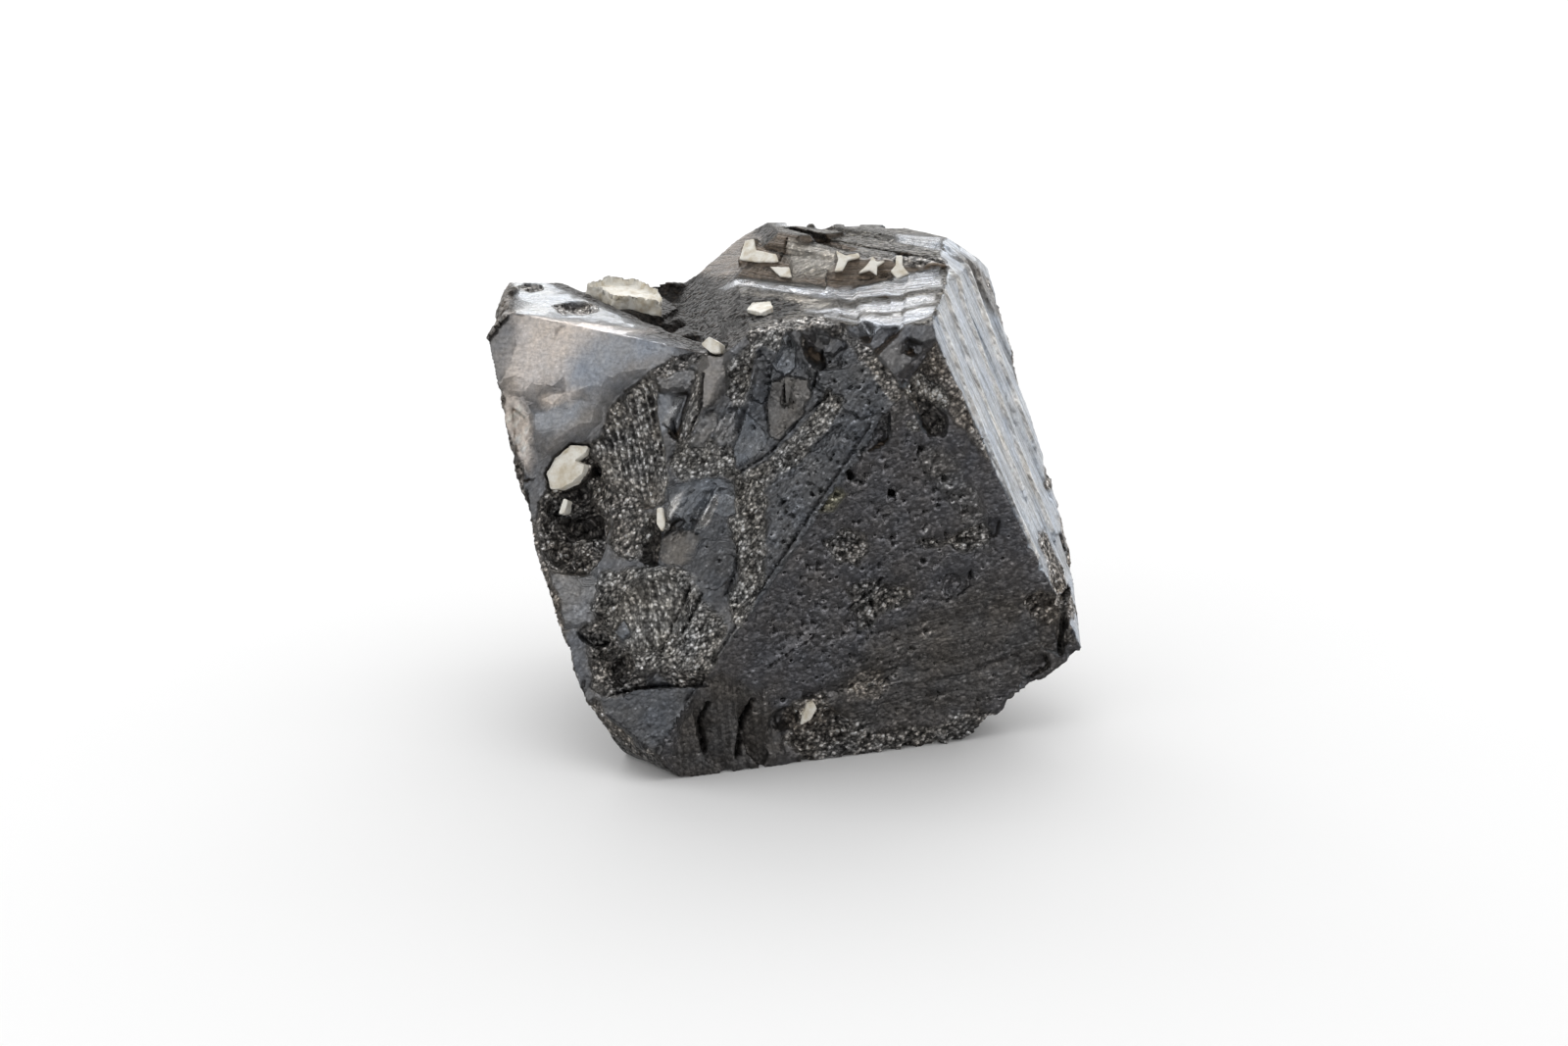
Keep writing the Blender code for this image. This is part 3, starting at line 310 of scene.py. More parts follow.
# Patches, each over those before it: (face, finish, relief, heading, pitch, height, sunk by, softness of
# the rim, [outline]). The relief is crumbs, slabs, grooves, waves or one even tilt.
PATCHES = [
    # tarnish on the smooth upper half of the left face
    (LEFT, "warm_sheen", "waves", 0, 4.0, 0.04, 0.0, 3.0,
     [(-21.6, 39.4), (-14.2, 39.4), (-9.3, 38.9), (-10.7, 37.2), (-13.5, 34.8), (-15.9, 32.6),
      (-18.9, 31.2), (-21.7, 31.4), (-23.4, 33.7), (-24.2, 36.2)]),
    (LEFT, "blue_sheen", "waves", 0, 4.0, 0.04, 0.0, 2.0,
     [(-14.9, 36.5), (-11.9, 38.4), (-4.9, 37.6), (-3.2, 36.0), (-7.0, 34.8), (-9.6, 33.6), (-12.6, 32.3),
      (-15.6, 31.5), (-15.4, 33.8)]),
    (LEFT, "brown_film", "waves", 0, 2.0, 0.02, 0.0, 1.4,
     [(-23.4, 38.6), (-21.9, 39.0), (-21.4, 35.0), (-22.3, 31.2), (-23.9, 33.6), (-24.6, 36.4)]),
    (LEFT, "blue_sheen", "waves", 0, 3.0, 0.03, 0.0, 1.5,
     [(-18.3, 29.9), (-14.1, 31.5), (-11.6, 31.4), (-11.9, 29.5), (-14.3, 28.3), (-17.2, 27.3),
      (-18.5, 28.6)]),
    (LEFT, "warm_sheen", "waves", 0, 2.0, 0.02, 0.0, 0.7,
     [(-17.8, 30.4), (-15.6, 30.9), (-13.4, 32.0), (-13.6, 32.6), (-16.0, 32.0), (-17.9, 31.2)]),
    (LEFT, "brown_film", "waves", 0, 2.0, 0.02, 0.0, 1.6,
     [(0.5, 34.5), (-2.4, 36.2), (-4.6, 36.0), (-7.4, 35.1), (-10.0, 33.7), (-11.3, 31.7), (-11.5, 29.6),
      (-12.9, 28.3), (-14.9, 27.1), (-15.9, 25.9), (-17.3, 26.5), (-14.9, 28.4), (-12.8, 30.2),
      (-12.4, 32.3), (-10.9, 34.3), (-8.6, 35.9), (-3.8, 37.0), (0.5, 36.6)]),
    (LEFT, "brown_film", "waves", 0, 2.0, 0.03, 0.0, 1.2,
     [(-2.7, 37.9), (0.0, 37.6), (0.6, 36.1), (0.4, 33.8), (-0.6, 32.0), (-1.5, 31.3), (-1.8, 34.0)]),
    (LEFT, "grey_facet", "waves", 0, 3.0, 0.04, 0.0, 1.2,
     [(-13.9, 15.2), (-11.5, 14.8), (-8.7, 15.3), (-7.8, 13.8), (-7.4, 12.2), (-8.8, 10.4), (-11.2, 10.4)]),
    (LEFT, "warm_sheen", "slabs", 60, 0.68, 0.07, 0.0, 1.4,
     [(-22.1, 31.2), (-19.9, 31.4), (-18.6, 29.4), (-18.4, 26.9), (-17.9, 24.3), (-18.8, 24.9),
      (-20.7, 28.3)]),
    # smooth facets and crumb bands of the worn middle
    (LEFT, "blue_facet", "waves", 57, 2.0, 0.06, 0.02, 0.6,
     [(-5.2, 19.6), (-4.0, 22.0), (-3.4, 25.0), (-4.2, 28.6), (-2.4, 28.2), (-1.2, 30.8), (-0.6, 32.4),
      (0.8, 33.8), (1.0, 36.0), (3.2, 38.4), (5.6, 40.6), (8.0, 38.4), (9.6, 36.4), (12.4, 34.8),
      (10.4, 31.4), (7.6, 28.2), (6.6, 24.0), (5.0, 20.4), (4.6, 16.4), (1.4, 15.2), (-2.0, 16.6),
      (-4.6, 16.2)]),
    (LEFT, "dark_blue", "waves", 57, 2.5, 0.08, 0.0, 0.8,
     [(6.1, 24.7), (7.9, 28.0), (11.2, 31.6), (14.7, 35.0), (18.0, 34.0), (13.3, 25.6), (9.7, 18.2),
      (8.4, 14.8), (6.9, 13.0), (7.3, 19.9)]),
    (LEFT, "dark_blue", "waves", 30, 2.5, 0.08, 0.0, 0.8,
     [(8.6, 36.0), (9.6, 38.6), (12.0, 40.2), (15.0, 39.0), (17.8, 36.4), (17.8, 34.0), (14.0, 33.0),
      (11.2, 34.6)]),
    (LEFT, "crumbled", "crumbs", 57, 0.68, 0.24, 0.1, 0.5,
     [(0.6, 36.4), (1.8, 38.0), (4.0, 40.4), (5.6, 41.2), (5.2, 38.6), (3.6, 38.0), (3.2, 35.8),
      (3.3, 34.6), (2.8, 32.9), (1.7, 32.2), (0.7, 33.6)]),
    (LEFT, "crumbled", "crumbs", 57, 0.58, 0.21, 0.1, 0.5,
     [(-3.0, 28.6), (-0.9, 29.4), (0.6, 29.0), (1.9, 28.6), (3.2, 26.5), (0.6, 25.5), (-2.2, 25.5),
      (-3.4, 26.6)]),
    (LEFT, "crumbled", "slabs", 57, 0.5, 0.26, 0.1, 0.5,
     [(3.1, 26.1), (5.4, 27.6), (7.4, 29.6), (9.6, 32.6), (11.0, 34.9), (12.4, 34.6), (11.6, 31.7),
      (9.3, 28.9), (7.1, 26.6), (4.9, 24.6), (3.1, 24.6)]),
    (LEFT, "crumbled", "slabs", 63, 0.58, 0.26, 0.1, 0.6,
     [(3.1, 26.0), (5.4, 26.0), (6.8, 24.2), (6.9, 21.4), (7.6, 18.8), (7.7, 16.1), (7.1, 13.2),
      (5.7, 11.6), (4.7, 13.8), (4.8, 16.8), (4.1, 20.2), (2.9, 23.0)]),
    (LEFT, "grey_facet", "tilt", 60, 1.6, 0.17, 0.04, 0.35,
     [(-1.9, 28.3), (-0.9, 31.4), (0.3, 31.9), (0.2, 30.1), (-0.6, 28.4)]),
    (LEFT, "grey_facet", "tilt", 60, 1.4, 0.17, 0.06, 0.35,
     [(0.3, 29.0), (0.9, 31.6), (1.8, 32.4), (2.4, 30.6), (1.8, 28.6)]),
    (LEFT, "slate_sheen", "tilt", 62, 2.2, 0.22, 0.05, 0.35,
     [(2.2, 28.6), (3.0, 32.3), (4.6, 31.2), (5.7, 30.2), (4.9, 28.4), (2.9, 27.0)]),
    (LEFT, "brown_facet", "tilt", -30, 3.0, 0.22, 0.05, 0.35,
     [(5.7, 30.3), (4.7, 33.0), (5.1, 35.4), (6.4, 36.2), (8.6, 36.0), (9.3, 34.8), (8.3, 32.2),
      (6.7, 30.0)]),
    (LEFT, "blue_facet", "tilt", 70, 1.4, 0.15, 0.05, 0.35,
     [(3.4, 33.4), (2.9, 36.7), (3.8, 37.9), (4.7, 37.1), (4.9, 34.7), (4.4, 33.3)]),
    (LEFT, "slate_sheen", "tilt", 66, 1.4, 0.2, 0.02, 0.35,
     [(4.9, 36.7), (6.0, 40.0), (6.9, 38.9), (7.0, 37.1), (6.1, 36.1)]),
    (LEFT, "slate_sheen", "tilt", 60, 3.0, 0.09, 0.04, 0.35,
     [(-3.4, 24.3), (0.4, 25.8), (2.9, 25.7), (3.6, 22.8), (2.4, 22.4), (1.0, 22.6), (-1.5, 21.6),
      (-2.8, 22.1)]),
    # painted highlight along a narrow tilted facet
    (LEFT, "painted_highlight_strip", "tilt", 60, 0.8, 0.22, 0.04, 0.35,
     [(-3.0, 22.3), (-2.2, 24.0), (-1.5, 24.4), (-2.1, 22.8), (-2.6, 21.4)]),
    (LEFT, "slate_sheen", "tilt", 62, 0.9, 0.27, 0.06, 0.35,
     [(-1.6, 20.9), (-0.6, 23.2), (0.2, 24.6), (0.3, 23.4), (-0.5, 21.6), (-1.0, 20.6)]),
    # painted highlight along a narrow tilted facet
    (LEFT, "painted_highlight_strip", "tilt", 62, 0.8, 0.27, 0.06, 0.35,
     [(0.0, 20.9), (0.8, 23.0), (1.6, 24.3), (1.5, 23.0), (0.9, 21.4)]),
    (LEFT, "crumbled", "crumbs", 60, 0.58, 0.24, 0.1, 0.4,
     [(-6.4, 22.0), (-3.3, 21.8), (-1.6, 20.6), (-3.2, 20.0), (-3.4, 17.2), (-6.4, 17.0), (-8.0, 18.4),
      (-7.6, 20.8)]),
    (LEFT, "black_hollow", "waves", 90, 1.0, 0.05, 0.85, 0.4,
     [(-4.4, 20.8), (-3.5, 20.8), (-3.4, 17.0), (-4.6, 17.2)]),
    (LEFT, "brown_facet", "waves", 60, 2.0, 0.04, 0.04, 0.35,
     [(-3.3, 19.4), (-2.8, 20.2), (-0.2, 20.8), (0.4, 20.1), (0.3, 18.5), (-0.1, 17.5), (-2.1, 17.2),
      (-3.1, 17.6)]),
    (LEFT, "blue_facet", "waves", 60, 2.0, 0.06, 0.06, 0.35,
     [(0.2, 17.8), (0.7, 20.0), (2.9, 20.2), (4.3, 18.6), (4.1, 16.2), (3.4, 14.4), (1.6, 14.0),
      (0.7, 15.4)]),
    (LEFT, "blue_facet", "waves", 60, 1.0, 0.04, 0.04, 0.35,
     [(2.6, 10.2), (3.6, 12.0), (4.9, 10.9), (4.0, 8.4)]),
    # crushed field below the middle, and the grooves across it
    (LEFT, "bright_crumbled", "crumbs", 60, 0.58, 0.24, 0.08, 0.7,
     [(-8.0, 15.2), (-4.0, 17.0), (-0.2, 17.0), (0.8, 15.0), (2.2, 13.8), (3.8, 13.6), (5.4, 12.4),
      (4.6, 10.0), (5.1, 8.4), (1.9, 6.9), (-2.1, 6.7), (-4.4, 8.2), (-6.9, 9.6), (-8.3, 12.1)]),
    (LEFT, "grey_grooved", "grooves", -72, 0.72, 0.21, 0.12, 0.7,
     [(-5.0, 14.6), (-6.4, 12.4), (-6.6, 10.6), (-4.2, 8.6), (-1.5, 9.2), (0.2, 11.1), (0.4, 14.6),
      (-1.6, 16.0), (-3.4, 16.2)]),
    (LEFT, "slate_sheen", "tilt", 20, 0.8, 0.15, 0.02, 0.35,
     [(-6.4, 10.4), (-5.6, 11.6), (-4.6, 10.6), (-5.4, 9.4)]),
    (LEFT, "dark_crumbled", "crumbs", 30, 0.68, 0.33, 0.1, 0.8,
     [(-9.9, 10.1), (-7.9, 11.2), (-6.4, 10.0), (-4.7, 8.7), (-2.7, 6.9), (-2.7, 5.7), (-5.4, 4.2),
      (-7.4, 4.9), (-7.9, 7.5)]),
    (LEFT, "grooved", "grooves", -66, 0.61, 0.29, 0.12, 0.5,
     [(-7.0, 34.6), (-9.4, 33.0), (-10.4, 31.0), (-10.8, 28.6), (-12.2, 27.2), (-12.0, 24.0), (-9.4, 21.4),
      (-5.3, 22.0), (-3.4, 22.6), (-3.3, 24.8), (-4.0, 27.4), (-4.9, 29.8), (-5.7, 32.3)]),
    (LEFT, "dark_crumbled", "crumbs", 30, 0.76, 0.34, 0.1, 0.5,
     [(-12.0, 27.3), (-13.7, 27.0), (-15.6, 23.8), (-15.7, 21.6), (-15.9, 19.8), (-15.6, 17.7),
      (-14.0, 15.5), (-11.5, 14.9), (-9.6, 15.2), (-8.6, 17.4), (-8.4, 21.0), (-9.6, 24.2)]),
    (LEFT, "black_hollow", "crumbs", 30, 0.42, 0.19, 0.45, 0.9,
     [(-14.9, 23.1), (-12.6, 23.3), (-9.9, 21.4), (-10.1, 19.2), (-12.6, 18.3), (-14.7, 20.1)]),
    (LEFT, "dark_crumbled", "slabs", 70, 0.76, 0.24, 0.1, 0.5,
     [(-10.8, 24.4), (-11.8, 22.8), (-10.2, 21.4), (-8.4, 20.4), (-7.8, 17.0), (-5.4, 17.4), (-4.4, 20.0),
      (-5.8, 22.6), (-8.4, 23.6)]),
    # the V-shaped notch and the foot
    (LEFT, "grey_facet", "waves", 30, 1.0, 0.04, 0.0, 0.35,
     [(-6.9, 35.0), (-3.3, 35.8), (-2.2, 35.3), (-3.1, 33.7), (-5.9, 33.2)]),
    (LEFT, "blue_sheen", "waves", 0, 1.0, 0.03, 0.0, 0.35,
     [(-5.9, 33.0), (-4.8, 33.2), (-4.0, 30.2), (-4.9, 28.4), (-5.4, 30.0)]),
    # painted highlight: a bright strip down the notch's left side
    (LEFT, "painted_highlight_strip", "waves", 0, 1.0, 0.03, 0.0, 0.2,
     [(-5.1, 30.2), (-4.3, 33.1), (-3.6, 33.0), (-4.3, 30.8), (-4.7, 29.9)]),
    (LEFT, "grooved", "grooves", 66, 0.5, 0.14, 0.05, 0.2,
     [(-3.4, 29.4), (-3.2, 32.8), (-2.3, 35.2), (-1.5, 33.4), (-1.5, 31.1), (-2.4, 28.9)]),
    (LEFT, "blue_facet", "waves", 30, 2.5, 0.06, 0.0, 0.4,
     [(-6.2, 4.2), (-4.1, 4.4), (-3.0, 5.4), (3.9, 6.5), (2.5, 4.4), (0.8, 1.4), (0.0, 0.2), (-2.0, 0.3),
      (-4.2, 1.4), (-6.2, 2.3)]),
    (LEFT, "brown_crumbled", "crumbs", 30, 0.58, 0.18, 0.1, 0.6,
     [(-8.6, 3.4), (-6.9, 3.6), (-5.4, 2.6), (-3.6, 1.6), (-2.6, 0.3), (-5.4, 0.4), (-8.4, 1.6)]),
    # the etched face on the right of the ridge
    (RIGHT_FRONT, "etched_speckled", "crumbs", 30, 0.76, 0.12, 0.0, 1.4,
     [(10.4, 33.1), (14.5, 38.5), (19.2, 38.7), (21.6, 36.6), (22.3, 33.9), (19.9, 32.2), (17.5, 31.5),
      (14.7, 28.9)]),
    (RIGHT_FRONT, "etched_speckled", "crumbs", 30, 0.58, 0.15, 0.0, 1.2,
     [(24.6, 31.0), (27.6, 27.6), (30.6, 22.4), (30.2, 19.6), (28.0, 21.4), (26.0, 25.6), (23.0, 29.6)]),
    (RIGHT_FRONT, "brown_crumbled", "crumbs", 40, 0.74, 0.34, 0.0, 0.6,
     [(19.6, 41.2), (24.4, 42.7), (25.8, 38.8), (27.5, 35.3), (29.4, 31.2), (30.2, 28.3), (27.7, 31.4),
      (25.6, 34.0), (23.2, 33.3), (21.7, 35.8), (19.8, 37.5), (19.2, 39.7)]),
    # painted glints on the bright crumbly chunk
    (RIGHT_FRONT, "glinting", "slabs", 70, 0.99, 0.34, 0.0, 0.3,
     [(21.7, 36.6), (23.3, 37.0), (25.7, 35.8), (26.1, 34.3), (25.0, 33.2), (23.6, 34.7), (22.0, 35.6)]),
    # painted shade: a very dark finish in a sunk hollow
    (RIGHT_FRONT, "valley_wall", "crumbs", 0, 0.68, 0.28, 0.45, 0.5,
     [(16.6, 39.7), (18.2, 40.2), (19.9, 39.2), (19.8, 37.6), (18.1, 37.3), (16.8, 38.2)]),
    (RIGHT_FRONT, "black_hollow", "crumbs", 0, 0.58, 0.24, 0.45, 0.4,
     [(23.0, 35.3), (24.2, 34.5), (25.8, 32.8), (25.5, 31.1), (24.3, 31.8), (23.2, 33.4)]),
    # painted glints on two small spots
    (RIGHT_FRONT, "glinting", "crumbs", 0, 0.6, 0.28, 0.0, 0.2,
     [(22.1, 32.8), (22.9, 33.1), (23.7, 32.2), (23.1, 31.5), (22.1, 31.8)]),
    (RIGHT_FRONT, "glinting", "crumbs", 0, 0.6, 0.28, 0.0, 0.2,
     [(9.8, 39.1), (11.1, 39.3), (12.1, 38.6), (11.2, 38.0), (10.2, 38.3)]),
    (RIGHT_FRONT, "olive", "waves", 0, 1.0, 0.04, 0.05, 0.3,
     [(13.5, 25.0), (14.8, 27.4), (16.2, 26.6), (15.0, 24.9)]),
    (RIGHT_FRONT, "etched_brown", "waves", 8, 1.5, 0.05, 0.0, 3.0,
     [(20.5, 12.5), (25.8, 14.6), (29.8, 16.0), (35.8, 14.9), (38.1, 12.1), (38.1, 8.6), (35.2, 5.9),
      (30.3, 3.3), (24.3, 2.4), (15.7, 2.7), (13.0, 5.6)]),
    (RIGHT_FRONT, "etched_brown", "grooves", 97, 0.8, 0.05, 0.0, 1.5,
     [(-0.5, 2.3), (2.0, 9.1), (3.7, 9.9), (7.6, 8.4), (9.5, 6.0), (10.6, 1.0), (6.7, -0.5), (1.0, -0.5)]),
    (RIGHT_FRONT, "dark_crumbled", "crumbs", 8, 0.68, 0.28, 0.1, 0.8,
     [(11.0, 2.6), (14.7, 3.4), (16.4, 4.0), (20.4, 2.4), (25.3, 2.3), (30.3, 2.9), (32.3, 1.7),
      (29.4, -0.4), (23.4, -1.0), (12.5, -0.8)]),
    (RIGHT_FRONT, "brown_crumbled", "crumbs", 8, 0.58, 0.31, 0.1, 0.5,
     [(11.4, 6.4), (14.4, 6.8), (15.4, 5.0), (15.0, 3.4), (12.0, 2.8), (11.0, 4.4)]),
    (RIGHT_FRONT, "dark_crumbled", "crumbs", 30, 0.5, 0.33, 0.1, 0.7,
     [(16.2, 17.0), (17.9, 17.8), (20.4, 17.5), (22.4, 16.5), (22.9, 15.2), (20.5, 14.7), (19.1, 12.9),
      (17.9, 12.9), (17.2, 15.3)]),
    (RIGHT_FRONT, "dark_crumbled", "crumbs", 20, 0.5, 0.34, 0.1, 0.6,
     [(14.5, 22.0), (16.1, 23.2), (18.3, 22.3), (18.8, 20.8), (17.4, 19.4), (15.2, 19.6)]),
    (RIGHT_FRONT, "dark_crumbled", "crumbs", 4, 0.5, 0.31, 0.1, 0.5,
     [(23.5, 21.0), (25.6, 20.8), (27.6, 21.3), (30.0, 22.1), (31.2, 21.1), (30.6, 19.6), (28.1, 19.9),
      (24.2, 20.3)]),
    (RIGHT_FRONT, "brown_crumbled", "crumbs", 8, 0.5, 0.26, 0.1, 0.6,
     [(16.9, 7.2), (18.2, 8.1), (20.2, 7.8), (20.7, 6.2), (19.3, 5.4), (17.3, 6.0)]),
    (RIGHT_FRONT, "etched", "waves", 0, 1.0, 0.02, 0.12, 0.25,
     [(26.0, 16.2), (26.7, 17.3), (28.2, 16.9), (28.4, 15.5), (27.4, 14.9), (26.2, 15.2)]),
    (RIGHT_FRONT, "brown_crumbled", "crumbs", 30, 0.58, 0.34, 0.1, 0.5,
     [(34.4, 13.6), (36.0, 14.4), (38.4, 13.6), (38.4, 11.4), (37.2, 10.7), (35.0, 11.7)]),
    (RIGHT_FRONT, "brown_crumbled", "slabs", 80, 1.0, 0.25, 0.0, 0.4,
     [(37.4, 17.4), (38.6, 18.4), (39.9, 14.4), (39.7, 8.8), (38.2, 8.2), (37.6, 12.4)]),
    # the cleaved right face
    (RIGHT, "brown_crumbled", "crumbs", -74, 0.7, 0.2, 0.0, 0.5,
     [(22.0, -20.6), (25.6, -21.4), (24.6, -23.1), (21.5, -23.6), (20.0, -22.5)]),
    (RIGHT, "brown_crumbled", "slabs", -74, 0.8, 0.3, 0.0, 0.7,
     [(8.9, -24.4), (9.6, -27.2), (8.4, -30.1), (9.7, -33.1), (13.4, -33.5), (15.6, -28.8), (13.0, -24.7)]),
    (RIGHT, "brown_facet", "slabs", -74, 1.4, 0.2, 0.0, 0.8,
     [(20.2, 2.1), (24.2, 0.6), (27.3, -1.6), (28.6, -6.3), (25.7, -6.3), (23.4, -1.7)]),
    # the smooth strip of the low platform and its two rough pits
    (PLATFORM, "dark_valley", "waves", 40, 1.0, 0.05, 0.0, 0.8,
     [(16.0, -7.0), (16.0, -21.5), (4.0, -20.6), (-6.0, -19.4), (-8.5, -19.0), (-6.0, -16.2), (-1.4, -12.8),
      (3.8, -8.8), (8.2, -5.2)]),
    (PLATFORM, "bright_platform", "waves", 92, 3.0, 0.04, 0.0, 0.6,
     [(11.4, 2.2), (7.7, 1.1), (0.0, 0.3), (-0.8, -5.0), (-1.6, -10.8), (-1.6, -12.3), (0.6, -10.8),
      (4.3, -8.1), (8.4, -4.4), (12.7, -1.1)]),
    (FLANK, "brown_riser", "waves", 24, 1.5, 0.05, 0.0, 0.8,
     [(-34.0, 4.6), (-26.6, 9.2), (-16.0, 9.0), (-16.4, 4.6), (-22.0, 3.0), (-28.0, 1.4)]),
    (PLATFORM, "dark_crumbled", "crumbs", 0, 0.8, 0.25, 0.1, 0.4,
     [(3.5, -3.2), (5.6, -3.8), (6.3, -5.6), (5.2, -7.2), (2.4, -6.8), (1.0, -5.8), (1.2, -4.2)]),
    (PLATFORM, "dark_crumbled", "crumbs", 0, 0.7, 0.22, 0.20, 0.3,
     [(9.1, 0.7), (10.8, 0.3), (10.4, -0.9), (8.9, -1.2), (7.8, -0.3)]),
    # bright bands along the tread
    (TREAD, "bright_top", "waves", 28, 2.0, 0.04, 0.0, 0.3,
     [(-29.8, -9.5), (-27.3, -7.4), (-23.7, -5.7), (-19.9, -4.1), (-16.8, -2.1), (-15.7, -3.6),
      (-18.2, -4.8), (-21.8, -6.5), (-25.5, -8.2), (-28.0, -9.4)]),
    (TREAD, "bright_top", "waves", 57, 2.0, 0.04, 0.0, 0.3,
     [(-17.4, -2.5), (-16.0, -0.6), (-15.6, 1.7), (-15.6, 3.7), (-15.0, 5.2), (-14.4, 7.4), (-9.5, 5.3),
      (-10.5, 3.3), (-12.1, 0.5), (-13.5, -1.7), (-16.3, -4.0)]),
    (TREAD, "bright_top", "waves", 57, 1.5, 0.04, 0.0, 0.4,
     [(-13.8, -6.6), (-11.5, -2.6), (-9.8, 1.1), (-8.3, 3.9), (-6.2, 3.2), (-7.4, 0.1), (-9.1, -3.6),
      (-12.7, -6.1)]),
    (TREAD, "bright_top", "waves", 50, 1.5, 0.04, 0.0, 0.4,
     [(-11.7, -6.2), (-8.4, -3.9), (-6.3, -0.4), (-5.4, 2.8), (-3.0, 1.5), (-3.0, -0.7), (-3.8, -3.4),
      (-5.2, -5.3), (-5.5, -3.6), (-7.9, -4.1), (-10.4, -5.8)]),
    (TREAD, "grey_riser", "waves", 34, 1.0, 0.06, 0.0, 0.5,
     [(-23.0, -8.2), (-20.0, -6.4), (-16.6, -4.6), (-14.2, -3.2), (-13.6, -5.2), (-16.0, -7.2),
      (-20.0, -9.2)]),
    (TREAD, "dark_valley", "crumbs", 40, 1.0, 0.2, 0.05, 1.0,
     [(-24.3, -9.8), (-20.6, -7.3), (-16.1, -6.1), (-13.8, -9.0), (-15.7, -12.3), (-20.7, -11.8)]),
    (TREAD, "dark_crumbled", "crumbs", 156, 0.8, 0.3, 0.1, 0.6,
     [(-14.4, -9.8), (-10.4, -7.6), (-7.0, -5.9), (-4.6, -5.2), (-2.6, -3.4), (-1.9, 0.6), (-0.2, 1.2),
      (0.6, -4.0), (-2.0, -8.4), (-8.0, -12.4)]),
    # the riser and the shelf above it
    (RISER_LEFT, "grey_riser", "waves", 4, 1.5, 0.05, 0.0, 0.6,
     [(-11.0, 3.6), (-7.8, 4.0), (-4.2, 3.9), (-3.0, 1.3), (-8.7, 1.1)]),
    (RISER_RIGHT, "grey_riser", "waves", 6, 1.2, 0.06, 0.0, 0.6,
     [(-6.9, 6.1), (-4.3, 5.9), (-1.7, 5.0), (-1.8, 2.0), (-6.1, 2.9)]),
    (RISER_RIGHT, "dark_crumbled", "crumbs", 6, 0.6, 0.14, 0.1, 0.4,
     [(0.6, 4.6), (5.5, 4.9), (9.4, 5.0), (9.2, 3.8), (5.5, 3.6), (2.6, 3.9)]),
    (SHELF, "bright_shelf", "waves", 21, 2.0, 0.04, 0.0, 0.5,
     [(-2.3, 7.0), (1.2, 9.9), (5.7, 7.1), (3.2, 6.3), (0.0, 5.6)]),
    (SHELF, "bright_shelf", "waves", 21, 1.5, 0.04, 0.0, 0.4,
     [(-12.6, -0.5), (-11.3, 0.9), (-9.7, -0.2), (-10.7, -1.4)]),
    # the cut beside the left shoulder
    (SHOULDER_CUT, "striped_cut", "grooves", -34, 0.8, 0.18, -0.4, 0.3,
     [(-12.0, -14.0), (8.0, -14.0), (8.0, -0.35), (-12.0, -0.35)]),
    # broad steps on the faces turned away
    (FAR_LEFT, "broken", "slabs", 74, 4.0, 0.45, 0.3, 2.0,
     [(4.0, 0.0), (-30.0, 0.0), (-30.0, 34.0), (4.0, 34.0)]),
    (FAR_LEFT, "cleaved", "slabs", 74, 3.0, 0.20, 0.2, 2.0,
     [(-6.0, 6.0), (-18.0, 5.0), (-22.0, 18.0), (-12.0, 26.0), (-5.0, 18.0)]),
    (BACK, "broken", "slabs", 62, 4.5, 0.50, 0.35, 2.0,
     [(-24.0, -27.0), (20.0, -27.0), (20.0, 8.0), (-24.0, 8.0)]),
    (BACK, "cleaved", "slabs", 62, 3.0, 0.25, 0.2, 2.0,
     [(-14.0, -18.0), (2.0, -20.0), (8.0, -8.0), (-4.0, 0.0), (-16.0, -6.0)]),
    (BACK_RIGHT, "broken", "slabs", 80, 4.0, 0.45, 0.3, 2.0,
     [(-14.0, -36.0), (16.0, -36.0), (16.0, 6.0), (-14.0, 6.0)]),
    (BACK_LEFT, "broken", "slabs", 66, 4.0, 0.45, 0.3, 2.0,
     [(-14.0, -36.0), (16.0, -36.0), (16.0, 4.0), (-14.0, 4.0)]),
]

# Bands along a line: (face, finish, relief, heading, pitch, height, sunk by, half its width, [line]).
BANDS = [
    (LEFT, "brown_crumbled", "crumbs", 60, 0.53, 0.2, 0.0, 0.5,
     [(-23.9, 33.0), (-20.4, 26.2), (-16.9, 19.8), (-13.6, 13.2), (-9.6, 5.4), (-7.6, 1.6)]),
    (LEFT, "dark_crumbled", "crumbs", 30, 0.61, 0.25, 0.0, 0.55,
     [(18.4, 34.8), (16.4, 37.0), (12.6, 40.0), (8.4, 41.6), (5.4, 41.4), (2.6, 39.6)]),
    (LEFT, "dark_crumbled", "crumbs", 30, 0.53, 0.25, 0.10, 0.4,
     [(-6.6, 34.9), (-5.0, 35.8), (-3.4, 36.4), (-1.6, 37.2)]),
    (LEFT, "dark_crumbled", "slabs", 8, 0.45, 0.2, 0.0, 0.45,
     [(-4.8, 5.9), (-2.4, 7.2), (1.0, 7.0), (4.0, 7.7)]),
    (RIGHT, "brown_crumbled", "slabs", -72, 0.33, 0.1, 0.0, 0.35,
     [(0.6, 0.0), (0.9, -6.5), (1.9, -13.6), (4.2, -21.7), (7.3, -29.3)]),
    (RIGHT, "brown_crumbled", "crumbs", -72, 0.52, 0.13, 0.0, 0.6,
     [(27.6, -3.0), (27.2, -8.0), (26.2, -14.0), (25.4, -19.6), (22.8, -25.0), (18.4, -30.0)]),
    (TREAD, "rough_top", "waves", 57, 1.0, 0.05, 0.0, 0.22,
     [(-8.9, 4.8), (-11.0, 1.3), (-13.2, -2.4), (-15.6, -5.0)]),
]

